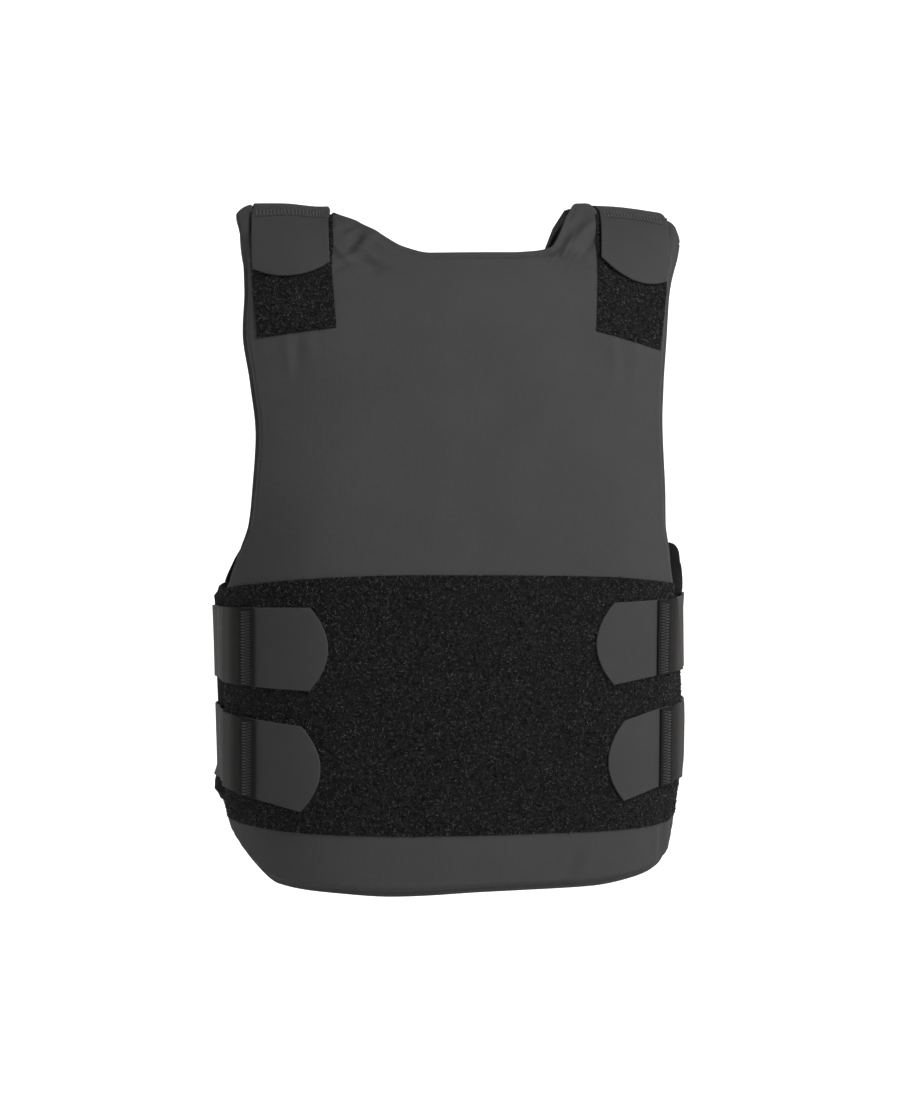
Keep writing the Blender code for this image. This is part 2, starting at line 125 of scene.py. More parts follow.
# Front panel: run up the chest, left edge and right edge from the centre line
FRONT_SIDES = np.array([
    (-0.540, -0.194, 0.177),
    (-0.503, -0.202, 0.178),
    (-0.480, -0.205, 0.180),
    (-0.455, -0.206, 0.186),
    (-0.425, -0.206, 0.189),
    (-0.391, -0.206, 0.187),
    (-0.345, -0.206, 0.180),
    (-0.305, -0.202, 0.172),
    (-0.273, -0.184, 0.164),
    (-0.253, -0.174, 0.158),
    (-0.235, -0.171, 0.157),
    (-0.190, -0.169, 0.158),
    (-0.144, -0.174, 0.160),
    (-0.106, -0.179, 0.164),
    (-0.066, -0.176, 0.169),
    (-0.015, -0.175, 0.180),
    (0.030, -0.177, 0.184),
])
# share of the width from the left edge, run of the hem
FRONT_HEM = np.array([
    (0.000, -0.489),
    (0.019, -0.505),
    (0.049, -0.519),
    (0.110, -0.535),
    (0.250, -0.540),
    (0.350, -0.542),
    (0.540, -0.539),
    (0.775, -0.537),
    (0.862, -0.533),
    (0.940, -0.526),
    (0.975, -0.515),
    (1.000, -0.484),
])
# share of the width from the left edge, run of the neckline and shoulder tops
FRONT_TOP = np.array([
    (0.000, 0.034),
    (0.020, 0.052),
    (0.050, 0.074),
    (0.090, 0.080),
    (0.180, 0.080),
    (0.205, 0.040),
    (0.260, 0.013),
    (0.310, -0.005),
    (0.360, -0.020),
    (0.420, -0.027),
    (0.600, -0.027),
    (0.655, -0.025),
    (0.690, -0.022),
    (0.709, -0.007),
    (0.738, 0.027),
    (0.780, 0.070),
    (0.820, 0.080),
    (0.930, 0.074),
    (0.965, 0.048),
    (0.989, 0.026),
    (1.000, -0.002),
])
RIDE_REACH = (0.040, 0.140)  # from the centre line, where the front panel starts to ride up, and is up
RIDE_RUN = (-0.245, -0.160)  # runs between which it comes down again, over the wings' tops
CURL = 9.0 * MM              # how far the front panel's lower left corner curls in
CURL_REACH = (-0.180, -0.020)
CURL_RUN = (-0.545, -0.470)
HEM_FLARE = 2.5 * MM         # how far its hem stands out, and where it does most
HEM_FLARE_PLACE = 0.010
HEM_FLARE_WIDTH = 0.100

# Back panel: level, half width of its body from the centre line
BACK_SIDES = np.array([
    (-0.550, 0.150),
    (-0.520, 0.177),
    (-0.490, 0.193),
    (-0.470, 0.203),
    (-0.306, 0.202),
    (-0.285, 0.186),
    (-0.258, 0.163),
    (-0.220, 0.150),
    (-0.170, 0.143),
    (-0.100, 0.150),
    (-0.040, 0.163),
    (0.000, 0.168),
    (0.080, 0.172),
])
# share of the half width from the centre line, level of the back's neckline and shoulder tops
BACK_TOP = np.array([
    (0.000, -0.022),
    (0.300, -0.018),
    (0.460, -0.010),
    (0.534, -0.005),
    (0.549, 0.018),
    (0.556, 0.058),
    (0.586, 0.081),
    (0.650, 0.080),
    (0.880, 0.080),
    (0.960, 0.062),
    (1.000, 0.030),
])
# share of the half width from the centre line, level of the back's hem
BACK_HEM = np.array([
    (0.000, -0.548),
    (0.500, -0.547),
    (0.800, -0.540),
    (0.930, -0.526),
    (1.000, -0.505),
])
# share of the wing's length from the body, level of its lower and upper edge
WINGS = np.array([
    (0.000, -0.474, -0.300),
    (0.250, -0.476, -0.304),
    (0.450, -0.478, -0.295),
    (0.600, -0.479, -0.285),
    (0.860, -0.479, -0.268),
    (1.000, -0.474, -0.268),
])
WING_END = 0.150             # where the wings stop under the front panel, from the front's centre line
WING_BOW = 4.0 * MM          # how far the wings stand off the body at its sides
WING_BULGE = 4.5 * MM        # how much further below the lower straps
BULGE_RUN = (-0.446, -0.462)
LEFT_WING_DROP = 9.0 * MM    # how much lower the left wing's top is at the side
LEFT_DROP_SHARE = (0.2, 0.5)             # shares of its length over which it gets lower
BOW_REACH = (0.200, 0.250, 0.340)
BOW_RUN = (-0.290, -0.220)

# Loop bands: share of the width, top edge, seam between the rows, bottom edge
LOOP_LEVELS = np.array([
    (0.000, -0.303, -0.394, -0.483),
    (0.060, -0.300, -0.394, -0.488),
    (0.200, -0.296, -0.394, -0.492),
    (0.400, -0.294, -0.395, -0.494),
    (0.800, -0.295, -0.396, -0.493),
    (0.950, -0.298, -0.396, -0.490),
    (1.000, -0.300, -0.396, -0.480),
])
LOOP_TOP, LOOP_SEAM, LOOP_BOTTOM = 1, 2, 3
LOOP_INSET = 1.5 * MM

# Side straps: side, corners and bulge of the tab's tip, edge of the elastic on it, and the levels
# of the top and bottom edges at the tip, at that edge, at the silhouette and at the sewn end
SIDE_STRAPS = {
    "left_upper": dict(side=-1, tip=0.122, bulge=0.013, lap=0.164,
                       top=(-0.318, -0.318, -0.318, -0.322), bottom=(-0.382, -0.380, -0.376, -0.380)),
    "left_lower": dict(side=-1, tip=0.128, bulge=0.014, lap=0.163,
                       top=(-0.409, -0.405, -0.398, -0.396), bottom=(-0.475, -0.467, -0.456, -0.454)),
    "right_upper": dict(side=1, tip=0.106, bulge=0.014, lap=0.143,
                        top=(-0.315, -0.313, -0.308, -0.322), bottom=(-0.379, -0.373, -0.366, -0.380)),
    "right_lower": dict(side=1, tip=0.115, bulge=0.013, lap=0.147,
                        top=(-0.407, -0.399, -0.392, -0.396), bottom=(-0.470, -0.461, -0.452, -0.454)),
}
WAIST = -0.390
STRAP_END = 0.125            # where the side straps are sewn to the back, from its centre line
TAB_LAP = 0.012              # length of tab that lies under the elastic
TAB_FALL = (-1.0 * MM, 10.0 * MM)        # round the tab's end, where the elastic comes down from it
EDGE_CLEAR = 2.0 * MM        # distance before the front panel's edge at which it is down at the latest
EDGE_INSET = 9.0 * MM        # distance before that edge from which its own rounding is left out
EDGE_FALL = (-8.0 * MM, 1.0 * MM)        # round that edge, where the elastic leaves the panel
STRAP_SETTLE = 0.040         # distance past the front panel's edge over which the elastic comes down
SILHOUETTE = 0.235           # distance from the front's centre line to the body's side

# Shoulder straps: run, inner and outer edge of the left one and of the right one
SHOULDER_STRAPS = np.array([
    (-0.118, -0.105, -0.163, 0.099, 0.152),
    (-0.050, -0.107, -0.166, 0.106, 0.163),
    (0.014, -0.105, -0.165, 0.114, 0.171),
    (0.050, -0.101, -0.162, 0.117, 0.174),
    (0.150, -0.100, -0.160, 0.106, 0.164),
])
# patch: runs of its lower corners; tab: runs of its lower corners, and the bulge between them
SHOULDER_ENDS = {
    "left": dict(patch=(-0.103, -0.111), tab=(-0.042, -0.049), bulge=0.012),
    "right": dict(patch=(-0.104, -0.117), tab=(-0.037, -0.056), bulge=0.013),
}
PATCH_TOP = 0.024
PATCH_SPARE = (1.0 * MM, 1.5 * MM)       # how much wider the patches are than the tabs, outside and inside
PATCH_FLARE = 2.0 * MM       # how much wider still inside, from where the tab starts up to the shoulder
FLARE_RUN = (-0.045, -0.015)
TAB_TOP = 0.036
STRAP_FRONT = 0.026          # run where the shoulder straps start, under the tabs
STRAP_BACK = 0.150
STRAP_SINK = 1.0 * MM


def value(table, column, at):
    """A table's column read at a position, on a smooth curve that never overshoots its rows."""
    rows, numbers = table[:, 0], table[:, column]
    at = np.clip(np.asarray(at, float), rows[0], rows[-1])
    steps = np.diff(rows)
    slopes = np.diff(numbers) / steps
    tangents = np.concatenate([slopes[:1], np.zeros(len(slopes) - 1), slopes[-1:]])
    for row in range(1, len(slopes)):
        before, after = slopes[row - 1], slopes[row]
        if before * after > 0:
            near = 2 * steps[row] + steps[row - 1]
            far = steps[row] + 2 * steps[row - 1]
            tangents[row] = (near + far) / (near / before + far / after)
    cell = np.clip(np.searchsorted(rows, at, side="right") - 1, 0, len(steps) - 1)
    part = (at - rows[cell]) / steps[cell]
    start = (2 * part ** 3 - 3 * part ** 2 + 1) * numbers[cell]
    leave = (part ** 3 - 2 * part ** 2 + part) * steps[cell] * tangents[cell]
    end = (3 * part ** 2 - 2 * part ** 3) * numbers[cell + 1]
    arrive = (part ** 3 - part ** 2) * steps[cell] * tangents[cell + 1]
    return start + leave + end + arrive


def ease(low, high, at):
    """Smooth step from 0 at low to 1 at high."""
    part = np.clip((np.asarray(at, float) - low) / (high - low), 0, 1)
    return part * part * (3 - 2 * part)


def between(grid, row, column, up, out):
    """A grid read between its points, at shares up and out of the cell past its row and column."""
    low = grid[row, column] * (1 - out) + grid[row, column + 1] * out
    high = grid[row + 1, column] * (1 - out) + grid[row + 1, column + 1] * out
    return low * (1 - up) + high * up


def climb_of(run):
    """A run in front of the shoulders' crest, or the run behind it that lies as high."""
    return np.minimum(run, 2 * SHOULDER_RUN - run)


def level_of(run):
    """Level and turn of the form at a run, which is folded at the crest of the shoulders."""
    climb = climb_of(run)
    turn = np.clip((climb + SHOULDER_RADIUS) / SHOULDER_RADIUS, 0, pi / 2)
    level = np.where(climb <= -SHOULDER_RADIUS, climb, SHOULDER_RADIUS * (np.sin(turn) - 1))
    return level, turn


OUTLINE_POINTS = 120


def outline(run):
    """Half outline of the form at each run, from the near centre line to the far one."""
    level, turn = level_of(run)
    behind = run > SHOULDER_RUN
    front = value(SECTIONS, 2, level) * np.cos(turn)
    back = value(SECTIONS, 3, level) * np.cos(turn)
    half = value(SECTIONS, 1, level)[..., None]
    near = np.where(behind, back, front)[..., None]
    far = np.where(behind, front, back)[..., None]
    power = 2 / value(SECTIONS, 4, level)[..., None]
    quarter = pi / 4 * (1 - np.cos(np.linspace(0, pi, OUTLINE_POINTS)))
    sines, cosines = np.sin(quarter) ** power, np.cos(quarter) ** power
    across = np.concatenate([half * sines, (half * sines)[..., -2::-1]], axis=-1)
    deep = np.concatenate([-near * cosines, (far * cosines)[..., -2::-1]], axis=-1)
    tape = np.cumsum(np.hypot(np.diff(across), np.diff(deep)), axis=-1)
    tape = np.concatenate([np.zeros(tape.shape[:-1] + (1,)), tape], axis=-1)
    return across, deep, tape


RUNS = np.arange(-0.640, 0.860, 0.0025)
REACHES = np.arange(0.0, 0.620, 0.0020)


def form_grid():
    """The form's places across and deep, at every run of RUNS and distance of REACHES."""
    across, deep, tape = outline(RUNS)
    rows = range(len(RUNS))
    return (np.array([np.interp(REACHES, tape[row], across[row]) for row in rows]),
            np.array([np.interp(REACHES, tape[row], deep[row]) for row in rows]))


FORM_ACROSS, FORM_DEEP = form_grid()


def torso(around, run):
    """Points on the form: around from the near centre line, + to the right from the front; run over it."""
    reach = np.abs(around)
    place_run = np.clip((run - RUNS[0]) / (RUNS[1] - RUNS[0]), 0, len(RUNS) - 1.001)
    place_reach = np.clip(reach / (REACHES[1] - REACHES[0]), 0, len(REACHES) - 1.001)
    row, column = place_run.astype(int), place_reach.astype(int)
    cell = (row, column, place_run - row, place_reach - column)
    level = level_of(run)[0]
    across = between(FORM_ACROSS, *cell) * np.sign(around)
    deep = between(FORM_DEEP, *cell) * np.where(run > SHOULDER_RUN, -1, 1)
    drop = value(SHOULDER_DROP, 1, across) * ease(-SHOULDER_RADIUS, 0, level)
    return np.stack([across, deep, level - drop], axis=-1)


def half_girth(run):
    """Tape length round the form from the front's centre line to the back's."""
    return outline(np.asarray(run, float))[2][..., -1]


def outward(around, run, nudge=2 * MM):
    """The form's outward normals."""
    sideways = torso(around + nudge, run) - torso(around - nudge, run)
    upward = torso(around, run + nudge) - torso(around, run - nudge)
    normal = np.cross(sideways, upward)
    return normal / np.linalg.norm(normal, axis=-1, keepdims=True)


def skin(around, run, height):
    """Points held a height above the form."""
    return torso(around, run) + outward(around, run) * np.broadcast_to(height, around.shape)[..., None]


def front_base(around, run):
    """Height of the front panel's inner face: it rides over the wings, and its hem curls and flares."""
    ride = (BACK_PAD + PANEL_GAP) * ease(*RIDE_REACH, np.abs(around)) * (1 - ease(*RIDE_RUN, run))
    curl = CURL * (1 - ease(*CURL_REACH, around))
    flare = HEM_FLARE * np.exp(-((around - HEM_FLARE_PLACE) / HEM_FLARE_WIDTH) ** 2)
    return ride + (flare - curl) * (1 - ease(*CURL_RUN, run))


def wing_bow(reach, run):
    """Height of the wings' inner face, at a distance from the front's centre line."""
    start, peak, end = BOW_REACH
    across = ease(start, peak, reach) * (1 - ease(peak, end, reach))
    bow = WING_BOW + WING_BULGE * (1 - ease(*BULGE_RUN[::-1], run))
    return bow * across * (1 - ease(*BOW_RUN, run))


def ripple(around, run, seed, size, octaves=3):
    """Smooth unevenness between -1 and 1: waves of random direction, the largest of a given size."""
    dice = np.random.default_rng(seed)
    total = np.zeros(np.broadcast(around, run).shape)
    weight = 0.0
    for octave in range(octaves):
        for _ in range(5):
            angle, phase = dice.uniform(0, tau, 2)
            pitch = size / 2 ** octave * dice.uniform(0.75, 1.3)
            total += 0.6 ** octave * np.sin(tau / pitch * (around * cos(angle) + run * sin(angle)) + phase)
            weight += 0.6 ** octave
    return total / weight * 1.8


def lines(length, step, rim):
    """Places along a length: close together near both ends, so that the edge can be rounded."""
    edge = rim * np.array([0.0, 0.08, 0.3, 0.65, 1.0])
    cells = max(2, int(round((length - 2 * rim) / step)))
    middle = np.linspace(rim, length - rim, cells + 1)
    return np.concatenate([edge[:-1], middle, length - edge[-2::-1]]) / length


DISTANCE_BATCH = 4000        # points measured at once


def all_faces(grid):
    """A mark on every face of a grid."""
    return np.ones((grid.shape[0] - 1, grid.shape[1] - 1), bool)


def meeting(keep):
    """How many of the faces kept meet at each point of a grid."""
    rows, columns = keep.shape
    touch = np.zeros((rows + 1, columns + 1), int)
    for down in (0, 1):
        for right in (0, 1):
            touch[down:rows + down, right:columns + right] += keep
    return touch


def edge_distance(across, along, keep=None):
    """Distance of each grid point from the nearest point on the grid's edge."""
    touch = meeting(all_faces(across) if keep is None else keep)
    rim = (touch > 0) & (touch < 4)
    points = np.stack([across.ravel(), along.ravel()], axis=-1)
    border = points[rim.ravel()]
    nearest = np.empty(len(points))
    for start in range(0, len(points), DISTANCE_BATCH):
        batch = slice(start, start + DISTANCE_BATCH)
        nearest[batch] = np.sqrt(((points[batch, None] - border[None]) ** 2).sum(-1).min(1))
    return nearest.reshape(across.shape)


def rounded(distance, thickness):
    """Share of the thickness that a rounded edge has reached at a distance from it, from 0 to 1."""
    part = np.clip(distance / (thickness / 2), 0, 1)
    return np.sqrt(1 - (1 - part) ** 2)


def mesh_object(name, points, faces, coordinates=None):
    """A smooth mesh object; coordinates are the cloth's own flat places of its points, in metres."""
    points, faces = np.asarray(points, np.float32), np.asarray(faces, np.int32)
    mesh = bpy.data.meshes.new(name)
    mesh.vertices.add(len(points))
    mesh.vertices.foreach_set("co", points.ravel())
    mesh.loops.add(faces.size)
    mesh.loops.foreach_set("vertex_index", faces.ravel())
    mesh.polygons.add(len(faces))
    mesh.polygons.foreach_set("loop_start", np.arange(0, faces.size, faces.shape[1], dtype=np.int32))
    mesh.update(calc_edges=True)
    if coordinates is not None:
        flat = mesh.uv_layers.new(name="cloth")
        flat.uv.foreach_set("vector", np.asarray(coordinates, np.float32)[faces.ravel()].ravel())
    mesh.shade_smooth()
    piece = bpy.data.objects.new(name, mesh)
    bpy.context.scene.collection.objects.link(piece)
    return piece


def shell(name, around, run, outer, inner, materials, keep=None, flat=None, zones=None):
    """Closed cloth over a grid: an outer and an inner face, which meet along the edge.

    materials are those of the outer face's zones, and last that of the inner face.
    """
    keep = all_faces(around) if keep is None else keep
    touch = meeting(keep)
    used, inside = touch > 0, touch == 4
    top = np.full(around.shape, -1)
    top[used] = np.arange(used.sum())
    under = top.copy()
    under[inside] = used.sum() + np.arange(inside.sum())
    row, column = np.nonzero(keep)
    corners = ((0, 0), (0, 1), (1, 1), (1, 0))
    outside = np.stack([top[row + down, column + right] for down, right in corners], axis=-1)
    within = np.stack([under[row + down, column + right] for down, right in corners[::-1]], axis=-1)
    points = np.concatenate([skin(around, run, outer)[used], skin(around, run, inner)[inside]])
    across, along = (around, run) if flat is None else flat
    places = np.stack([across, along], axis=-1)
    piece = mesh_object(name, points, np.concatenate([outside, within]),
                        np.concatenate([places[used], places[inside]]))
    for material in materials:
        piece.data.materials.append(material)
    zones = np.zeros(keep.shape, int) if zones is None else zones
    index = np.concatenate([zones[keep], np.full(len(within), len(materials) - 1)])
    piece.data.polygons.foreach_set("material_index", index.astype(np.int32))
    return piece


def slab(name, around, run, middle, thickness, material, flat=None, relief=0.0):
    """Cloth of one thickness with rounded edges: the piece, and the height of its outer face.

    middle is the height of the middle of its thickness, and relief is added to its outer face.
    """
    round_share = rounded(edge_distance(*(flat or (around, run))), thickness)
    outer = middle + (thickness / 2 + relief) * round_share
    inner = middle - thickness / 2 * round_share
    return shell(name, around, run, outer, inner, [material], flat=flat), outer


def strands(name, paths, facing, radius, sides, material):
    """Short threads with pointed ends: paths has their points, facing each one's upward direction."""
    count, steps = paths.shape[:2]
    along = np.gradient(paths, axis=1)
    along /= np.linalg.norm(along, axis=-1, keepdims=True)
    side = np.cross(along, facing[:, None])
    side /= np.linalg.norm(side, axis=-1, keepdims=True)
    up = np.cross(side, along)
    turns = tau * np.arange(sides) / sides
    radius = np.broadcast_to(np.asarray(radius, float), (count,))[:, None, None, None]
    spokes = side[:, 1:-1, None] * np.cos(turns)[:, None] + up[:, 1:-1, None] * np.sin(turns)[:, None]
    rings = paths[:, 1:-1, None] + spokes * radius
    points = np.concatenate([paths[:, :1], rings.reshape(count, -1, 3), paths[:, -1:]], axis=1)
    first, last = 0, points.shape[1] - 1
    faces = []
    for spoke in range(sides):
        after = (spoke + 1) % sides
        faces.append((first, 1 + after, 1 + spoke))
        for ring in range(steps - 3):
            low, high = 1 + ring * sides, 1 + (ring + 1) * sides
            faces.append((low + spoke, low + after, high + after))
            faces.append((low + spoke, high + after, high + spoke))
        end = 1 + (steps - 3) * sides
        faces.append((last, end + spoke, end + after))
    faces = np.array(faces)[None] + (np.arange(count) * points.shape[1])[:, None, None]
    piece = mesh_object(name, points.reshape(-1, 3), faces.reshape(-1, 3))
    piece.data.materials.append(material)
    return piece


class Nodes:
    """A material's node tree, built from short calls."""

    def __init__(self, name, roughness, sheen=0.0, specular=0.3):
        self.material = bpy.data.materials.new(name)
        self.material.use_nodes = True
        self.tree = self.material.node_tree
        self.shader = self.tree.nodes["Principled BSDF"]
        self.set(self.shader, "Roughness", roughness)
        self.set(self.shader, "Sheen Weight", sheen)
        self.set(self.shader, "Sheen Roughness", 0.5)
        self.set(self.shader, "Specular IOR Level", specular)

    def set(self, node, socket, setting):
        """Sets a socket to a number or colour, or links it to another node's output."""
        target = node.inputs[socket]
        if isinstance(setting, bpy.types.NodeSocket):
            self.tree.links.new(setting, target)
        elif isinstance(setting, tuple) and len(setting) == 3 and target.type == "RGBA":
            target.default_value = (*setting, 1.0)
        else:
            target.default_value = setting

    def add(self, kind, output=0, **settings):
        """A new node's output; settings are its sockets, or its own properties with a leading _."""
        node = self.tree.nodes.new("ShaderNode" + kind)
        for key, setting in settings.items():
            if key.startswith("_"):
                setattr(node, key[1:], setting)
        for key, setting in settings.items():
            if not key.startswith("_"):
                self.set(node, int(key[1:]) if key[0] == "i" and key[1:].isdigit() else key, setting)
        return node.outputs[output]

    def math(self, operation, first, second=0.0):
        """One arithmetic step."""
        return self.add("Math", _operation=operation, i0=first, i1=second)

    def places(self):
        """The cloth's own flat coordinates, in metres."""
        return self.add("UVMap", _uv_map="cloth")

    def noise(self, size, detail=3.0, roughness=0.5):
        """Noise whose largest lumps have a size in metres."""
        place = self.add("TexCoord", output=3)
        return self.add("TexNoise", Vector=place, Scale=1.0 / size, Detail=detail, Roughness=roughness)

    def crowns(self, angle):
        """Rounded crowns, a half turn of the angle apart."""
        return self.math("ABSOLUTE", self.math("SINE", angle))

    def weave(self, pitch):
        """Plain weave: threads over and under each other, 0 in the gaps and 1 on the crowns."""
        parts = self.tree.nodes.new("ShaderNodeSeparateXYZ")
        self.set(parts, "Vector", self.places())
        warp, weft = (self.math("MULTIPLY", parts.outputs[axis], pi / pitch) for axis in (0, 1))
        over = self.math("MULTIPLY", self.math("SINE", warp), self.math("SINE", weft))
        over = self.math("ADD", self.math("MULTIPLY", over, 0.5), 0.5)
        first = self.math("MULTIPLY", self.crowns(warp), over)
        second = self.math("MULTIPLY", self.crowns(weft), self.math("SUBTRACT", 1.0, over))
        return self.math("ADD", first, second)

    def shade(self, colour, variation, low, high):
        """The colour, darker and lighter with a variation between 0 and 1."""
        amount = self.add("MapRange", Value=variation, i3=low, i4=high)
        scaled = self.add("VectorMath", _operation="SCALE", i0=colour, Scale=amount)
        self.set(self.shader, "Base Color", scaled)

    def bump(self, height, distance, below=None):
        """Relief of a height between 0 and 1, over another relief or none."""
        settings = dict(Height=height, Distance=distance, Strength=1.0)
        if below is not None:
            settings["Normal"] = below
        normal = self.add("Bump", **settings)
        self.set(self.shader, "Normal", normal)
        return normal


def cloth_material(name, colour, pitch, grain=0.5, roughness=0.85, sheen=0.04, specular=0.16):
    """Matte woven cloth: thread relief, slight streaks along the threads and soft blotches."""
    nodes = Nodes(name, roughness, sheen=sheen, specular=specular)
    weave = nodes.weave(pitch)
    blotches = nodes.noise(0.045, detail=4.0)
    fuzz = nodes.noise(0.0016, detail=2.0)
    mixed = nodes.math("ADD", nodes.math("MULTIPLY", blotches, 0.5), nodes.math("MULTIPLY", fuzz, grain))
    mixed = nodes.math("ADD", mixed, nodes.math("MULTIPLY", weave, 0.25))
    nodes.shade(colour, mixed, low=0.76, high=1.16)
    soft = nodes.bump(nodes.noise(0.006, detail=3.0), 0.22 * MM)
    nodes.bump(weave, 0.10 * MM, below=soft)
    return nodes.material


def loop_ground_material():
    """Black knitted ground between the loops."""
    nodes = Nodes("loop_ground", 0.95, sheen=0.05, specular=0.1)
    lumps = nodes.noise(0.0026, detail=4.0, roughness=0.75)
    contrast = nodes.add("MapRange", Value=lumps, i1=0.38, i2=0.68, i3=0.0, i4=1.0)
    nodes.shade((0.0125, 0.012, 0.013), contrast, low=0.3, high=2.6)
    nodes.bump(lumps, 1.2 * MM)
    return nodes.material


def loop_fibre_material():
    """Curly fibres of the loops: black, some of them catching the light."""
    nodes = Nodes("loop_fibre", 0.55, sheen=0.05, specular=0.35)
    chance = nodes.add("NewGeometry", output=8)
    bright = nodes.math("POWER", chance, 3.0)
    nodes.shade((0.020, 0.0195, 0.0205), bright, low=0.3, high=8.0)
    return nodes.material


PAINTED_SHADE_REACH = (17.0 * MM, 30.0 * MM)      # from its front end, over which the elastic's painted shade (its sewn zone and the dip beside it) fades out
# share of the elastic's colour left where its painted shade is darkest
PAINTED_SHADE_FACTOR = 0.22
RIB_PITCH = 1.6 * MM
PICK_PITCH = 0.9 * MM


def elastic_material():
    """Ribbed elastic: warm grey yarn over rubber, with ribs along the strap, and painted shade over its sewn
    front end and the dip beside it.
    """
    nodes = Nodes("elastic", 0.85, sheen=0.03, specular=0.10)
    parts = nodes.tree.nodes.new("ShaderNodeSeparateXYZ")
    nodes.set(parts, "Vector", nodes.places())
    picks, ribs = (nodes.crowns(nodes.math("MULTIPLY", parts.outputs[axis], pi / pitch))
                   for axis, pitch in enumerate((PICK_PITCH, RIB_PITCH)))
    relief = nodes.math("MULTIPLY", ribs, nodes.math("ADD", nodes.math("MULTIPLY", picks, 0.4), 0.6))
    fuzz = nodes.noise(0.0022, detail=3.0)
    mixed = nodes.math("ADD", nodes.math("MULTIPLY", relief, 0.4), nodes.math("MULTIPLY", fuzz, 0.6))
    # painted shade: the yarn's colour is darkened near the strap's front end, where a shaded dip lies beside
    # the seam
    away = nodes.add("MapRange", _interpolation_type="SMOOTHSTEP", Value=parts.outputs[0],
                     i1=PAINTED_SHADE_REACH[0], i2=PAINTED_SHADE_REACH[1], i3=PAINTED_SHADE_FACTOR, i4=1.0)
    yarn = nodes.add("VectorMath", _operation="SCALE", i0=(0.084, 0.0805, 0.078), Scale=away)
    nodes.shade(yarn, mixed, low=0.80, high=1.16)
    nodes.bump(relief, 0.12 * MM)
    return nodes.material


def thread_material(name, colour):
    """Twisted sewing thread."""
    nodes = Nodes(name, 0.55, sheen=0.15, specular=0.4)
    twist = nodes.noise(0.0006, detail=2.0)
    nodes.shade(colour, twist, low=0.7, high=1.3)
    return nodes.material


def lining_material():
    """Black brushed lining on the side of the body."""
    nodes = Nodes("lining", 0.95, sheen=0.15)
    weave = nodes.weave(1.6 * MM)
    nodes.shade((0.012, 0.012, 0.013), nodes.noise(0.03, detail=4.0), low=0.7, high=1.3)
    nodes.bump(weave, 0.25 * MM)
    return nodes.material


CARRIER = cloth_material("carrier_cloth", (0.078, 0.0755, 0.0765), 0.9 * MM)
HOOK = cloth_material("hook_tab_cloth", (0.074, 0.0722, 0.0735), 0.7 * MM, grain=0.3, roughness=0.8)
WING = cloth_material("wing_cloth", (0.011, 0.0105, 0.011), 1.0 * MM, roughness=1.0, sheen=0.0,
                      specular=0.06)
GROUND = loop_ground_material()
FIBRE = loop_fibre_material()
ELASTIC = elastic_material()
THREAD_CLOTH = thread_material("thread", (0.110, 0.107, 0.108))
THREAD_ELASTIC = thread_material("elastic_thread", (0.032, 0.031, 0.030))
THREAD_DARK = thread_material("dark_thread", (0.012, 0.012, 0.012))
LINING = lining_material()


def dress(piece, slot, *nodes):
    """Puts a piece on the part's one body and hides the solids that it stands for; slot is not used."""
    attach(piece, "root")
    if nodes:
        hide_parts(*nodes)


def front_edges(run):
    """Left and right edge of the front panel at a run."""
    return value(FRONT_SIDES, 1, run), value(FRONT_SIDES, 2, run)


ARMHOLE_MARGIN = (3.0 * MM, 7.0 * MM)    # where the insert's edge begins and is full, at the armholes
NECK_MARGIN = (6.0 * MM, 12.0 * MM)      # the same along the neckline
NECK_RUN = (-0.100, -0.040)              # where the neckline's margin takes over from the armholes'
NECK_REACH = (0.075, 0.115)
GROOVE = (0.5 * MM, 1.2 * MM)            # depth and width of the sewn groove round the insert
RIDGE = (0.35 * MM, 2.2 * MM)            # height and width of the insert's border
PUCKER = 0.25 * MM
PUCKER_PITCH = 0.011
PUCKER_WIDTH = 5 * MM
FRONT_SWELL = 0.45 * MM      # unevenness of the cloth over the inserts, and the size of its lumps
FRONT_LUMPS = 0.110
BACK_SWELL = 0.5 * MM
BACK_LUMPS = 0.120
SWELL_EDGE = (2.0 * MM, 30.0 * MM)       # distances from the edge over which it comes in
BAND_TOP_RUN = (-0.300, -0.285)          # above the loop bands, which hold the cloth flat
SLACK_RUN = (-0.300, -0.280)
PATCH_RUN = (-0.135, -0.120)             # where the shoulder patches hold it flat
PATCH_REACH = (0.085, 0.100)


def bell(distance, width):
    """Smooth hump, 1 at distance 0."""
    return np.exp(-(distance / width) ** 2)


def padding(distance, seam, pad, begin, full):
    """Height of a padded face at a distance from its sewn edge: seam, groove, then the insert."""
    groove = GROOVE[0] * bell(distance - begin, GROOVE[1])
    ridge = RIDGE[0] * bell(distance - full, RIDGE[1])
    return seam + (pad - seam) * ease(begin, full, distance) - groove + ridge


def seam_height(run):
    """Thickness of a panel at its sewn edge, which is fuller at the shoulder tops."""
    return SEAM + SHOULDER_SEAM * ease(*SEAM_RUN, climb_of(run))


def shoulder_rise(around, run):
    """How much higher the padding is beside the straps over the shoulders."""
    rise = np.zeros(around.shape)
    for side in SHOULDER_ENDS:
        inner, outer = shoulder_edges(side, run)
        low, high = np.minimum(inner, outer) - SEAT, np.maximum(inner, outer) + SEAT
        beside = np.maximum(low - around, around - high)
        inside = np.abs(around) < np.abs(inner)
        amount = np.where(inside, SHOULDER_RISE[1], SHOULDER_RISE[0])
        rise += amount * ease(*RISE_START, beside) * ease(*RISE_FADE, np.maximum(beside, 0.0))
    return rise * ease(*RISE_RUN, climb_of(run))


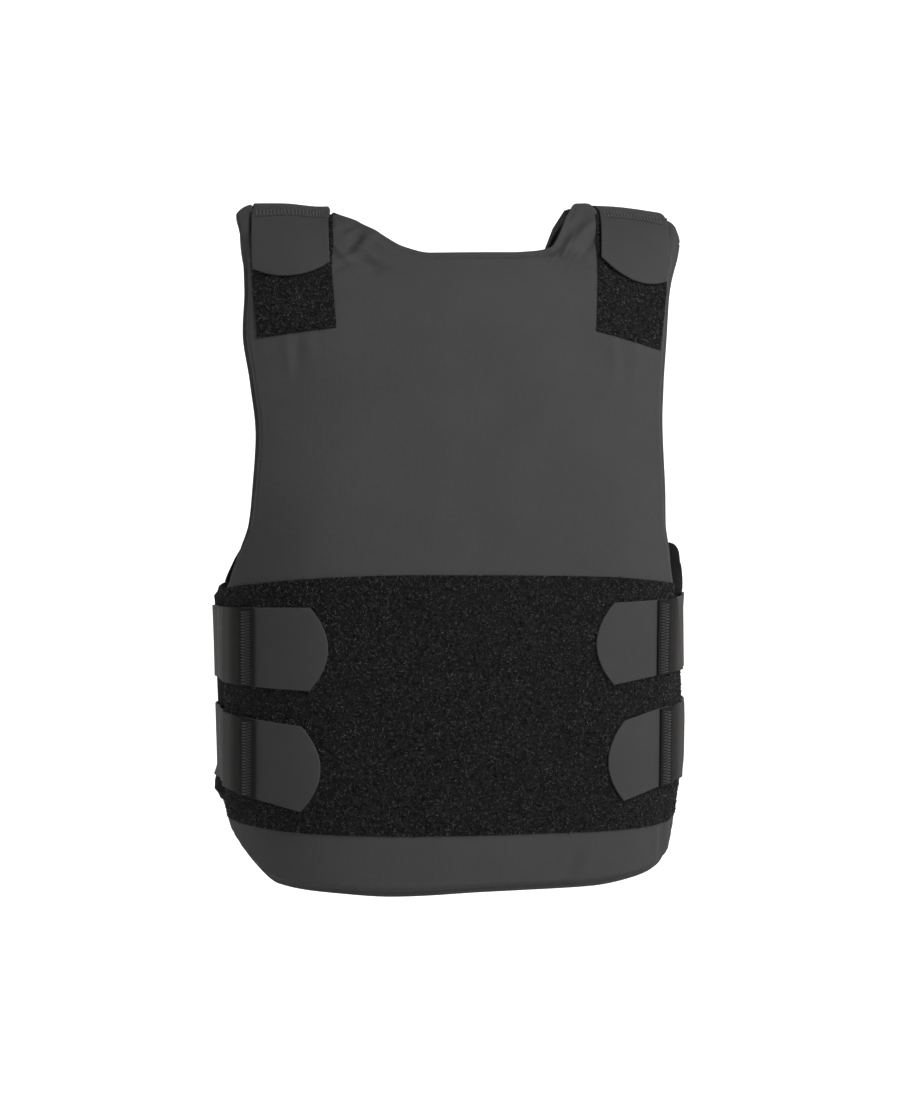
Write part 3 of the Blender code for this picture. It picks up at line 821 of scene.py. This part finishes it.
# Folds in the front panel: distance from the centre line, run, direction in degrees, length, width, height
FRONT_FOLDS = np.array([
    (-0.096, -0.042, 30, 0.012, 0.0036, -0.0024),
    (-0.076, -0.042, -24, 0.013, 0.0036, -0.0024),
    (-0.098, -0.029, 118, 0.012, 0.0036, 0.0022),
    (-0.089, -0.035, 20, 0.010, 0.0036, 0.0024),
    (-0.077, -0.031, -38, 0.012, 0.0036, 0.0022),
    (-0.074, -0.050, 0, 0.007, 0.0034, -0.0018),
    (-0.086, -0.014, 64, 0.016, 0.0040, -0.0030),
    (-0.091, 0.002, 25, 0.010, 0.0036, -0.0024),
    (-0.078, -0.018, 58, 0.017, 0.0040, 0.0016),
    (0.097, -0.006, 55, 0.022, 0.0040, 0.0026),
    (0.088, -0.002, 55, 0.018, 0.0038, -0.0022),
    (0.103, -0.016, 60, 0.018, 0.0036, -0.0022),
    (0.084, -0.037, -20, 0.022, 0.0042, -0.0028),
    (0.076, -0.026, -25, 0.016, 0.0060, 0.0018),
    (0.076, -0.518, 62, 0.018, 0.0048, -0.0016),
    (0.086, -0.516, 62, 0.018, 0.0060, 0.0008),
    (0.148, -0.502, 88, 0.018, 0.0028, 0.0012),
    (0.154, -0.502, 88, 0.018, 0.0028, -0.0013),
    (0.161, -0.500, 88, 0.018, 0.0030, 0.0012),
    (-0.142, -0.124, 92, 0.014, 0.0032, 0.0008),
    (-0.134, -0.122, 88, 0.016, 0.0032, -0.0009),
    (-0.124, -0.120, 94, 0.014, 0.0036, 0.0008),
    (0.112, -0.124, 88, 0.016, 0.0034, 0.0009),
    (0.121, -0.126, 92, 0.016, 0.0032, -0.0009),
    (0.131, -0.128, 86, 0.014, 0.0034, 0.0009),
])
# Folds in the back panel, in the same columns, with the level in place of the run
BACK_FOLDS = np.array([
    (-0.112, -0.296, 8, 0.050, 0.0060, -0.0026),
    (-0.104, -0.306, 12, 0.045, 0.0060, 0.0020),
    (0.112, -0.300, -12, 0.050, 0.0060, -0.0026),
    (0.104, -0.310, -16, 0.045, 0.0060, 0.0020),
    (-0.075, -0.388, 3, 0.050, 0.0060, -0.0022),
    (0.070, -0.391, -4, 0.050, 0.0060, -0.0022),
    (-0.095, -0.474, 14, 0.040, 0.0065, -0.0024),
    (0.098, -0.470, -16, 0.040, 0.0065, -0.0024),
    (-0.098, -0.096, 76, 0.036, 0.0050, -0.0018),
    (0.100, -0.092, 102, 0.036, 0.0050, -0.0018),
    (0.000, -0.060, 0, 0.045, 0.0060, 0.0014),
])


def folds(table, around, run):
    """Height of a table's folds: smooth ridges and hollows."""
    height = np.zeros(around.shape)
    for centre, level, direction, length, width, rise in table:
        turn = radians(direction)
        along = (around - centre) * cos(turn) + (run - level) * sin(turn)
        across = -(around - centre) * sin(turn) + (run - level) * cos(turn)
        height += rise * np.exp(-(along / length) ** 2 - (across / width) ** 2)
    return height


def front_height(around, run, distance):
    """Height of the front panel's outer face above the form, at a distance from its edge."""
    neck = ease(*NECK_RUN, run) * (1 - ease(*NECK_REACH, np.abs(around)))
    begin = ARMHOLE_MARGIN[0] + (NECK_MARGIN[0] - ARMHOLE_MARGIN[0]) * neck
    full = ARMHOLE_MARGIN[1] + (NECK_MARGIN[1] - ARMHOLE_MARGIN[1]) * neck
    height = front_base(around, run) + padding(distance, seam_height(run), FRONT_PAD, begin, full)
    loose = ease(*SWELL_EDGE, distance) * ease(*BAND_TOP_RUN, run)
    height += FRONT_SWELL * ripple(around, run, 11, FRONT_LUMPS) * loose
    height += folds(FRONT_FOLDS, around, run) + shoulder_rise(around, run)
    pucker = np.sin(tau * (around + run * 0.4) / PUCKER_PITCH + 3 * ripple(around, run, 5, 0.05))
    height += PUCKER * pucker * bell(distance - begin, PUCKER_WIDTH) * ease(0, begin, distance)
    return height


def front_grid(step):
    """Grid of the front panel, from the hem up to the shoulder tops."""
    shares, rises = (lines(length, step, SEAM / 2) for length in FRONT_CUT)
    share, rise = np.meshgrid(shares, rises)
    hem, top = value(FRONT_HEM, 1, share), value(FRONT_TOP, 1, share)
    run = hem + (top - hem) * rise
    left, right = front_edges(run)
    return left + (right - left) * share, run, shares, rises


SIM_STEP = 7.0 * MM          # grid of the cloth simulation
SIM_FRAMES = 24
SIM_GROWTH = 0.010           # how much larger the carrier is cut than the insert
SIM_REACH = (-0.6 * MM, 1.2 * MM)        # how far the settled cloth may lie inside and outside its form
SEWN_RUN = -0.030            # run above which the straps hold the cloth down


def settled(points, sewn):
    """Where the loose carrier comes to rest over its insert: a grid of points, held where it is sewn."""
    rows, columns = sewn.shape
    number = np.arange(rows * columns).reshape(rows, columns)
    faces = np.stack([number[:-1, :-1], number[:-1, 1:], number[1:, 1:], number[1:, :-1]], axis=-1)
    loose = mesh_object("loose_cloth", points.reshape(-1, 3), faces.reshape(-1, 4))
    held = loose.vertex_groups.new(name="sewn")
    held.add(number[sewn].tolist(), 1.0, "REPLACE")
    cloth = loose.modifiers.new("cloth", "CLOTH").settings
    cloth.vertex_group_mass = held.name
    cloth.quality = 6
    cloth.mass = 0.15
    cloth.tension_stiffness = 25
    cloth.compression_stiffness = 10
    cloth.shear_stiffness = 8
    cloth.bending_stiffness = 1.5
    cloth.air_damping = 5
    cloth.shrink_min = -SIM_GROWTH
    scene = bpy.context.scene
    for step in range(SIM_FRAMES):
        scene.frame_set(1 + step)
    moved = loose.evaluated_get(bpy.context.evaluated_depsgraph_get())
    rest = np.empty(rows * columns * 3, np.float32)
    moved.data.vertices.foreach_get("co", rest)
    scene.frame_set(1)
    mesh = loose.data
    bpy.data.objects.remove(loose)
    bpy.data.meshes.remove(mesh)
    return rest.reshape(rows, columns, 3)


def slack(fine_shares, fine_rises):
    """How far the front carrier's settled cloth lies off its form, read at a finer grid's places."""
    around, run, shares, rises = front_grid(SIM_STEP)
    distance = edge_distance(around, run)
    points = skin(around, run, front_height(around, run, distance))
    sewn = (distance < ARMHOLE_MARGIN[1]) | (run > SEWN_RUN)
    off = ((settled(points, sewn) - points) * outward(around, run)).sum(-1)
    off = np.clip(off, *SIM_REACH)
    level = np.array([np.interp(fine_shares, shares, row) for row in off])
    return np.array([np.interp(fine_rises, rises, column) for column in level.T]).T


def front_panel():
    """Padded front panel in its carrier."""
    around, run, shares, rises = front_grid(FRONT_STEP)
    distance = edge_distance(around, run)
    base = front_base(around, run)
    seam = seam_height(run)
    height = front_height(around, run, distance)
    covered = ease(*PATCH_RUN, run) * ease(*PATCH_REACH, np.abs(around))
    height += slack(shares, rises) * ease(*SLACK_RUN, run) * (1 - covered)
    round_share = rounded(distance, np.minimum(seam, EDGE_ROUND))
    outer = base + seam / 2 + (height - base - seam / 2) * round_share
    inner = base + seam / 2 * (1 - round_share)
    piece = shell("front_panel_carrier", around, run, outer, inner, [CARRIER, LINING])
    dress(piece, "carrier_cloth", "front_panel")


WING_START = 1.04            # share of the body's half width where the wings' black cloth starts
NECK_TRIM = 5.0 * MM         # width of black lining that comes round the back neckline's edge
NECK_TRIM_RUN = -0.030
NECK_TRIM_REACH = 0.104


def back_grid(step):
    """Grid of the back panel: its body, and a wing on each side; with the faces used and the wings' faces."""
    body = lines(BACK_CUT[0], step, SEAM / 2) * 2 - 1
    wing = lines(BACK_CUT[1], step, SEAM / 2)[4:]
    wing = (wing[1:] - wing[0]) / (wing[-1] - wing[0])
    reach = np.concatenate([-1 - wing[::-1], body, 1 + wing])
    on_body, on_wing = np.clip(np.abs(reach), 0, 1), np.clip(np.abs(reach) - 1, 0, 1)
    wing_top = value(WINGS, 2, on_wing) - LEFT_WING_DROP * (reach < 0) * ease(*LEFT_DROP_SHARE, on_wing)
    guides = [value(BACK_TOP, 1, on_body), wing_top,
              value(WINGS, 1, on_wing), value(BACK_HEM, 1, on_body)]
    above, beside, below = (lines(height, step, SEAM / 2) for height in BACK_HEIGHTS)
    climb = np.array([start + (end - start) * part
                      for start, end, parts in zip(guides, guides[1:], (above[:-1], beside, below[1:]))
                      for part in parts])
    half = value(BACK_SIDES, 1, climb)
    span = half_girth(climb) - WING_END - half
    around = np.sign(reach) * (half * on_body + span * on_wing)
    middle = np.abs(reach[1:] + reach[:-1]) / 2
    keep = np.repeat([middle < 1], len(climb) - 1, axis=0)
    keep[len(above) - 1:len(above) + len(beside) - 2] = True
    on_wings = np.repeat([middle > WING_START], len(climb) - 1, axis=0)
    return around, climb, keep, on_wings.astype(int)


def back_panel():
    """Padded back panel, with a wing on each side that wraps forward under the front panel."""
    around, climb, keep, zones = back_grid(BACK_STEP)
    distance = edge_distance(around, climb, keep)
    base = wing_bow(half_girth(climb) - np.abs(around), climb)
    seam = seam_height(climb)
    round_share = rounded(distance, np.minimum(seam, EDGE_ROUND))
    height = padding(distance, seam, BACK_PAD, *ARMHOLE_MARGIN)
    height += BACK_SWELL * ripple(around, climb, 21, BACK_LUMPS) * ease(*SWELL_EDGE, distance)
    height += folds(BACK_FOLDS, around, climb)
    outer = base + seam / 2 + (height - seam / 2) * round_share
    inner = base + seam / 2 * (1 - round_share)
    run = 2 * SHOULDER_RUN - climb
    trim = (distance < NECK_TRIM) & (climb > NECK_TRIM_RUN) & (np.abs(around) < NECK_TRIM_REACH)
    materials = [CARRIER, WING, LINING]
    zones[trim[1:, 1:]] = materials.index(LINING)
    piece = shell("back_panel_carrier", around, run, outer, inner, materials, keep=keep, zones=zones)
    dress(piece, "carrier_cloth", "back_panel")


def band_grid(lower, upper, step):
    """Grid of one row of loop fastener between two edges of LOOP_LEVELS."""
    share, rise = np.meshgrid(*(lines(length, step, BAND / 2) for length in BAND_CUT))
    bottom = value(LOOP_LEVELS, lower, share) + SEAT * (lower == LOOP_SEAM)
    top = value(LOOP_LEVELS, upper, share) - SEAT * (upper == LOOP_SEAM)
    run = bottom + (top - bottom) * rise
    left, right = front_edges(run)
    left, right = left + LOOP_INSET, right - LOOP_INSET
    return left + (right - left) * share, run


def front_face(around, run):
    """Height of the front panel's outer face, away from its hem and neckline."""
    left, right = front_edges(run)
    return front_height(around, run, np.minimum(around - left, right - around))


FIBRE_LENGTH = (1.4, 3.2)    # in millimetres, as is the radius
FIBRE_RADIUS = (0.13, 0.31)
FIBRE_RISE = (0.3, 1.0)      # share of the pile's height
FIBRE_CURL = (-0.5, 0.5)     # share of the length
FIBRE_ROOT = 0.1 * MM        # how deep the fibres start in the ground
BAND_FIBRES = 19000          # tries to place a fibre: fewer succeed where the grid is close
PATCH_FIBRES = 5500
BAND_ROUGHNESS = 0.12 * MM


def pile(name, around, run, ground, count, seed):
    """Loop pile: curly fibres strewn over a grid, standing on a ground height."""
    dice = np.random.default_rng(seed)
    rows, columns = around.shape
    place = np.stack([dice.uniform(0.002, rows - 1.002, count), dice.uniform(0.002, columns - 1.002, count)])
    row, column = place.astype(int)
    up, out = place - np.stack([row, column])
    cell_width = np.abs(np.diff(around, axis=1)[row, column])
    cell_height = np.abs(np.diff(run, axis=0)[row, column])
    kept = dice.uniform(0, 1, count) < cell_width * cell_height / (cell_width * cell_height).max()
    cell = (row[kept], column[kept], up[kept], out[kept])
    across, along, height = (between(grid, *cell) for grid in (around, run, ground - FIBRE_ROOT))
    number = len(across)
    turn = dice.uniform(0, tau, number)
    length = dice.uniform(*FIBRE_LENGTH, number) * MM
    rise = dice.uniform(*FIBRE_RISE, number) * PILE
    curl = dice.uniform(*FIBRE_CURL, number) * length
    steps = np.linspace(-1, 1, 4)
    forward = steps[None] * length[:, None] / 2
    sideways = curl[:, None] * (1 - steps ** 2)[None]
    lift = height[:, None] + rise[:, None] * (1 - 0.9 * steps[None] ** 2)
    path_across = across[:, None] + forward * np.cos(turn)[:, None] - sideways * np.sin(turn)[:, None]
    path_along = along[:, None] + forward * np.sin(turn)[:, None] + sideways * np.cos(turn)[:, None]
    paths = skin(path_across, path_along, lift)
    radius = dice.uniform(*FIBRE_RADIUS, number) * MM
    return strands(name, paths, outward(across, along), radius, 3, FIBRE)


def loop_cloth(name, around, run, count, seed, relief=0.0):
    """Loop fastener on the front panel: its ground cloth and its pile."""
    middle = front_face(around, run) + SEAT + BAND / 2
    ground, face = slab(f"{name}_ground", around, run, middle, BAND, GROUND, relief=relief)
    fibres = pile(f"{name}_pile", around, run, face, count, seed)
    dress(ground, "loop_pile", name)
    dress(fibres, "loop_pile")


def loop_band(name, lower, upper, seed):
    """One row of loop fastener across the front panel."""
    around, run = band_grid(lower, upper, BAND_STEP)
    relief = BAND_ROUGHNESS * ripple(around, run, seed, 0.02)
    loop_cloth(name, around, run, BAND_FIBRES, seed, relief)


def side_levels(strap, around):
    """Top and bottom edge of a side strap at a distance from the front's centre line."""
    stations = np.array([strap["tip"], strap["lap"], SILHOUETTE, half_girth(WAIST) - STRAP_END])
    edges = np.column_stack([stations, strap["top"], strap["bottom"]])
    return value(edges, 1, around), value(edges, 2, around)


def flipped(side, *grids):
    """Grids turned round for the left side, so that their faces still point outward."""
    return [grid[:, ::-1] for grid in grids] if side < 0 else list(grids)


TAB_WAVE = 0.15 * MM
TAB_HEM = (0.15 * MM, 1.5 * MM, 0.8 * MM)        # depth, distance from the edge and width of the hem's line


def side_tab(name, strap):
    """Hook tab with a rounded tip, pressed onto the loop bands."""
    length = strap["lap"] + TAB_LAP - strap["tip"] + strap["bulge"]
    share, rise = np.meshgrid(*(lines(size, TAB_STEP, TAB / 2) for size in (length, TAB_WIDTH)))
    tip = strap["tip"] - strap["bulge"] * (1 - (2 * rise - 1) ** 2)
    reach = tip + (strap["lap"] + TAB_LAP - tip) * share
    top, bottom = side_levels(strap, reach)
    run = bottom + (top - bottom) * rise
    around, run = flipped(strap["side"], strap["side"] * reach, run)
    base = front_face(around, run) + BAND + PRESSED_PILE
    middle = base + TAB / 2 + TAB_WAVE * ripple(around, run, len(name), 0.03)
    hem = TAB_HEM[0] * bell(edge_distance(around, run) - TAB_HEM[1], TAB_HEM[2])
    piece = slab(f"{name}_cloth", around, run, middle, TAB, HOOK, relief=-hem)[0]
    dress(piece, "hook_tab_cloth", name)


def strap_heights(strap, reach, run):
    """Height of an elastic's inner face from its lap on the tab, over the panel's edge to the back."""
    side = strap["side"]
    edge = np.abs(front_edges(run)[(side + 1) // 2])
    tab_end = strap["lap"] + TAB_LAP
    over_band = front_face(np.minimum(reach, edge - EDGE_INSET) * side, run) + BAND + PRESSED_PILE
    lifted = over_band + TAB + SEAT
    down = ease(tab_end + TAB_FALL[0], np.minimum(tab_end + TAB_FALL[1], edge - EDGE_CLEAR), reach)
    height = lifted - (TAB + SEAT) * down
    rim = BACK_PAD + PANEL_GAP + SEAM + BAND + PILE + SEAT
    leave = ease(edge + EDGE_FALL[0], edge + EDGE_FALL[1], reach)
    height = np.minimum(height, height + (rim - height) * leave)
    rest = BACK_PAD + SEAT + wing_bow(reach, run)
    settle = ease(edge + EDGE_FALL[1], edge + STRAP_SETTLE, reach)
    height = height + (BACK_PAD + SEAT - height) * settle
    return np.maximum(height, rest)


def side_strap(name, strap):
    """Elastic from its lap on the hook tab, over the front panel's edge and round to the back."""
    end = half_girth(WAIST) - STRAP_END
    length = end - strap["lap"]
    share, rise = np.meshgrid(*(lines(size, step, STRAP / 2)
                                for size, step in zip((length, STRAP_WIDTH), STRAP_STEPS)))
    reach = strap["lap"] + length * share
    top, bottom = side_levels(strap, reach)
    run = bottom + (top - bottom) * rise
    height = strap_heights(strap, reach, run)
    grids = (strap["side"] * reach, run, height, reach - strap["lap"], STRAP_WIDTH * rise)
    around, run, height, along, across = flipped(strap["side"], *grids)
    piece = slab(f"{name}_elastic", around, run, height + STRAP / 2, STRAP, ELASTIC, (along, across))[0]

    def on_top(across, along):
        return strap_heights(strap, np.abs(across), along) + STRAP

    seam = zigzag_across(f"{name}_stitching", strap, on_top)
    top, bottom = side_levels(strap, np.array([end]))
    rows = [(strap["side"] * (end - row), bottom[0], top[0]) for row in TACK_ROWS]
    tack = tack_rows(f"{name}_tack", rows, True, on_top)
    dress(piece, "elastic", name)
    dress(seam, "hook_tab_cloth")
    dress(tack, "hook_tab_cloth")


ZIGZAG_WIDTH = {"side": 11.0 * MM, "shoulder": 15.0 * MM}
ZIGZAG_PITCH = {"side": 2.3 * MM, "shoulder": 2.7 * MM}
THREAD = 0.34 * MM
SATIN_THREAD = 0.5 * MM      # thread of the bars on the shoulder tabs
STITCH_INSET = 3.0 * MM      # distance of the stitching from the side edges
ZIGZAG_START = 0.6 * MM      # distance of the zigzag from the elastic's front end
ZIGZAG_INSET = 1.5 * MM      # and from its side edges
SATIN_INSET = 2.0 * MM       # distance of the satin bars from a shoulder tab's top
ROW_GAP = 1.0 * MM           # distance of the dark row below them


def stitches(name, start, end, height_at, material, radius=THREAD):
    """Arched threads from their starts to their ends, which are (around, run) pairs."""
    steps = np.linspace(0, 1, 6)
    across = start[0][:, None] + (end[0] - start[0])[:, None] * steps
    along = start[1][:, None] + (end[1] - start[1])[:, None] * steps
    arch = np.sin(pi * steps) ** 0.5 * radius * 1.3 - radius
    paths = skin(across, along, height_at(across, along) + arch[None])
    return strands(name, paths, outward(across[:, 2], along[:, 2]), radius, 5, material)


TACK_ROWS = (4.0 * MM, 11.0 * MM)        # distances of the stitch rows from a strap's sewn end
TACK_PITCH = 3.4 * MM
TACK_LENGTH = 2.5 * MM


def tack_rows(name, rows, upright, height_at):
    """Rows of straight stitches, up the body or across it: each row's place, and its ends."""
    begin = []
    for place, low, high in rows:
        starts = np.arange(low + STITCH_INSET, high - STITCH_INSET - TACK_LENGTH, TACK_PITCH)
        begin.append(np.stack([np.full(len(starts), place), starts]))
    begin = np.concatenate(begin, axis=1)
    end = begin + np.array([[0.0], [TACK_LENGTH]])
    if not upright:
        begin, end = begin[::-1], end[::-1]
    return stitches(name, begin, end, height_at, THREAD_CLOTH)


def zigzag_across(name, strap, height_at):
    """Zigzag seam that joins the elastic to the hook tab, across the strap."""
    width, pitch = ZIGZAG_WIDTH["side"], ZIGZAG_PITCH["side"]
    middle = strap["lap"] + width / 2 + ZIGZAG_START
    reach = np.array([middle - width / 2, middle + width / 2])
    top, bottom = side_levels(strap, np.array([middle]))
    count = int((top - bottom - 2 * ZIGZAG_INSET)[0] / pitch)
    levels = bottom[0] + ZIGZAG_INSET + pitch * np.arange(2 * count + 1) / 2
    places = strap["side"] * reach[np.arange(2 * count + 1) % 2]
    return stitches(name, (places[:-1], levels[:-1]), (places[1:], levels[1:]), height_at, THREAD_ELASTIC)


def shoulder_edges(side, run):
    """Inner and outer edge of a shoulder strap at a run."""
    inner, outer = (1, 2) if side == "left" else (3, 4)
    return value(SHOULDER_STRAPS, inner, run), value(SHOULDER_STRAPS, outer, run)


def shoulder_reach(side, run):
    """Left and right edge of a shoulder strap at one run."""
    inner, outer = shoulder_edges(side, np.array([run]))
    return sorted((inner[0], outer[0]))


def shoulder_grid(side, lower, upper, rim, step, bulge=0.0, spare=(0.0, 0.0)):
    """Grid between the edges of a shoulder strap; lower gives the runs of its lower corners."""
    share, rise = np.meshgrid(*(lines(size, step, rim) for size in (SHOULDER_WIDTH, upper - min(lower))))
    foot = lower[0] + (lower[1] - lower[0]) * share - bulge * (1 - (2 * share - 1) ** 2)
    run = foot + (upper - foot) * rise
    inner, outer = shoulder_edges(side, run)
    away = np.sign(outer)
    if any(spare):
        inner = inner - (spare[1] + PATCH_FLARE * ease(*FLARE_RUN, run)) * away
    outer = outer + spare[0] * away
    return flipped(-1 if side == "left" else 1, inner + (outer - inner) * share, run)


def shoulder_patch(side, seed):
    """Loop patch sewn on the front panel's shoulder, under the hook tab."""
    lower = SHOULDER_ENDS[side]["patch"]
    around, run = shoulder_grid(side, lower, PATCH_TOP, BAND / 2, PATCH_STEP, spare=PATCH_SPARE)
    loop_cloth(f"shoulder_patch_{side}", around, run, PATCH_FIBRES, seed)


def front_pad_top(around, run):
    """Height of the padding under the shoulder straps, over the crest."""
    return front_base(around, run) + FRONT_PAD


def shoulder_strap_height(around, run):
    """Height of a shoulder strap's inner face."""
    return front_pad_top(around, run) + SEAT - STRAP_SINK * ease(SHOULDER_RUN, STRAP_BACK, run)


def shoulder_strap(side):
    """Strap from under the hook tab over the crest to its sewn end on the back."""
    name = f"shoulder_strap_{side}"
    around, run = shoulder_grid(side, (STRAP_FRONT, STRAP_FRONT), STRAP_BACK, STRAP / 2, STRAP_STEPS[0])
    middle = shoulder_strap_height(around, run) + STRAP / 2
    piece = slab(f"{name}_elastic", around, run, middle, STRAP, ELASTIC, (run + STRAP_BACK, around))[0]

    def on_top(across, along):
        return shoulder_strap_height(across, along) + STRAP

    rows = [(STRAP_BACK - row, *shoulder_reach(side, STRAP_BACK - row)) for row in TACK_ROWS]
    tack = tack_rows(f"{name}_tack", rows, False, on_top)
    dress(piece, "elastic", name)
    dress(tack, "hook_tab_cloth")


SHOULDER_TAB_WAVE = 0.12 * MM


def shoulder_tab(side):
    """Hook tab with a rounded lower end, at the front end of a shoulder strap."""
    ends = SHOULDER_ENDS[side]
    name = f"shoulder_tab_{side}"
    around, run = shoulder_grid(side, ends["tab"], TAB_TOP, TAB / 2, TAB_STEP, ends["bulge"])

    def seat(across, along):
        return front_pad_top(across, along) + STRAP + 2 * SEAT

    middle = seat(around, run) + TAB / 2 + SHOULDER_TAB_WAVE * ripple(around, run, 40, 0.03)
    piece = slab(f"{name}_cloth", around, run, middle, TAB, HOOK)[0]
    top_run = TAB_TOP - SATIN_INSET
    low, high = shoulder_reach(side, top_run)
    width, pitch = ZIGZAG_WIDTH["shoulder"], ZIGZAG_PITCH["shoulder"]
    count = int((high - low - 2 * STITCH_INSET) / pitch)
    places = low + STITCH_INSET + pitch * np.arange(count)
    runs = np.full(count, top_run)

    def on_top(across, along):
        return seat(across, along) + TAB

    seam = stitches(f"{name}_stitching", (places, runs), (places, runs - width),
                    on_top, THREAD_CLOTH, radius=SATIN_THREAD)
    below = runs - width - ROW_GAP
    row = stitches(f"{name}_row", (places - pitch / 2, below), (places + pitch / 4, below),
                   on_top, THREAD_DARK, radius=SATIN_THREAD)
    dress(piece, "hook_tab_cloth", name)
    dress(seam, "hook_tab_cloth")
    dress(row, "hook_tab_cloth")


front_panel()
back_panel()
loop_band("loop_band_upper", LOOP_SEAM, LOOP_TOP, 101)
loop_band("loop_band_lower", LOOP_BOTTOM, LOOP_SEAM, 102)
for strap_name, strap_sizes in SIDE_STRAPS.items():
    side_tab(f"side_tab_{strap_name}", strap_sizes)
    side_strap(f"side_strap_{strap_name}", strap_sizes)
for shoulder_seed, shoulder in enumerate(SHOULDER_ENDS):
    shoulder_patch(shoulder, 110 + shoulder_seed)
    shoulder_tab(shoulder)
    shoulder_strap(shoulder)

# Studio
FLOOR_LEVEL = -1.15
STUDIO_RADIUS = 3.4
STUDIO_BEND = 0.9
STUDIO_HEIGHT = 3.0
STUDIO_SIDES = 96
GLOW = (0.11, 0.97)          # light that the backdrop gives, in front of the vest and behind it
GLOW_REACH = (-0.3, 1.6)     # places along Y between which it grows


def studio():
    """Plain pale floor that curves up into a wall all round; a lit wall behind the vest."""
    bend = np.linspace(0, pi / 2, 16)
    out = STUDIO_RADIUS - STUDIO_BEND + STUDIO_BEND * np.sin(bend)
    up = FLOOR_LEVEL + STUDIO_BEND * (1 - np.cos(bend))
    out = np.concatenate([[0.0], out, [STUDIO_RADIUS]])
    up = np.concatenate([[FLOOR_LEVEL], up, [FLOOR_LEVEL + STUDIO_HEIGHT]])
    turns = tau * np.arange(STUDIO_SIDES) / STUDIO_SIDES
    points = np.stack([np.outer(out, np.cos(turns)), np.outer(out, np.sin(turns)),
                       np.repeat(up[:, None], len(turns), axis=1)], axis=-1)
    row, column = np.meshgrid(np.arange(len(out) - 1), np.arange(STUDIO_SIDES), indexing="ij")
    below, above, after = row * STUDIO_SIDES, (row + 1) * STUDIO_SIDES, (column + 1) % STUDIO_SIDES
    faces = np.stack([below + column, below + after, above + after, above + column], axis=-1)
    floor = mesh_object("floor", points.reshape(-1, 3), faces.reshape(-1, 4))
    nodes = Nodes("floor", 0.9, specular=0.0)
    nodes.set(nodes.shader, "Base Color", (0.5, 0.5, 0.5))
    place = nodes.tree.nodes.new("ShaderNodeSeparateXYZ")
    nodes.set(place, "Vector", nodes.add("TexCoord", output=3))
    glow = nodes.add("MapRange", _interpolation_type="SMOOTHSTEP", Value=place.outputs[1],
                     i1=GLOW_REACH[0], i2=GLOW_REACH[1], i3=GLOW[0], i4=GLOW[1])
    nodes.set(nodes.shader, "Emission Color", (1.0, 1.0, 1.0))
    nodes.set(nodes.shader, "Emission Strength", glow)
    floor.data.materials.append(nodes.material)


# name, azimuth and elevation of the light seen from the vest, distance, size, power
LIGHTS = (
    ("key", 34, 38, 2.3, 1.4, 25.5),
    ("low_key", 40, 8, 2.3, 1.1, 9),
)
WORLD_LIGHT = 0.02
AIM = Vector((0.0, 0.0, -0.27))


def add_light(name, azimuth, elevation, distance, size, power):
    """A square soft light aimed at the vest; azimuth 0 is in front of it and 90 on the right."""
    data = bpy.data.lights.new(name, "AREA")
    data.size = size
    data.energy = power
    light = bpy.data.objects.new(name, data)
    turn, lift = radians(azimuth), radians(elevation)
    away = Vector((sin(turn) * cos(lift), -cos(turn) * cos(lift), sin(lift)))
    light.location = AIM + away * distance
    light.rotation_euler = (-away).to_track_quat("-Z", "Y").to_euler()
    light.visible_camera = False
    bpy.context.scene.collection.objects.link(light)


studio()
for light_row in LIGHTS:
    add_light(*light_row)
world = bpy.data.worlds.new("studio")
world.use_nodes = True
world.node_tree.nodes["Background"].inputs["Color"].default_value = (1.0, 1.0, 1.0, 1.0)
world.node_tree.nodes["Background"].inputs["Strength"].default_value = WORLD_LIGHT
bpy.context.scene.world = world
bpy.context.scene.view_settings.view_transform = "Standard"
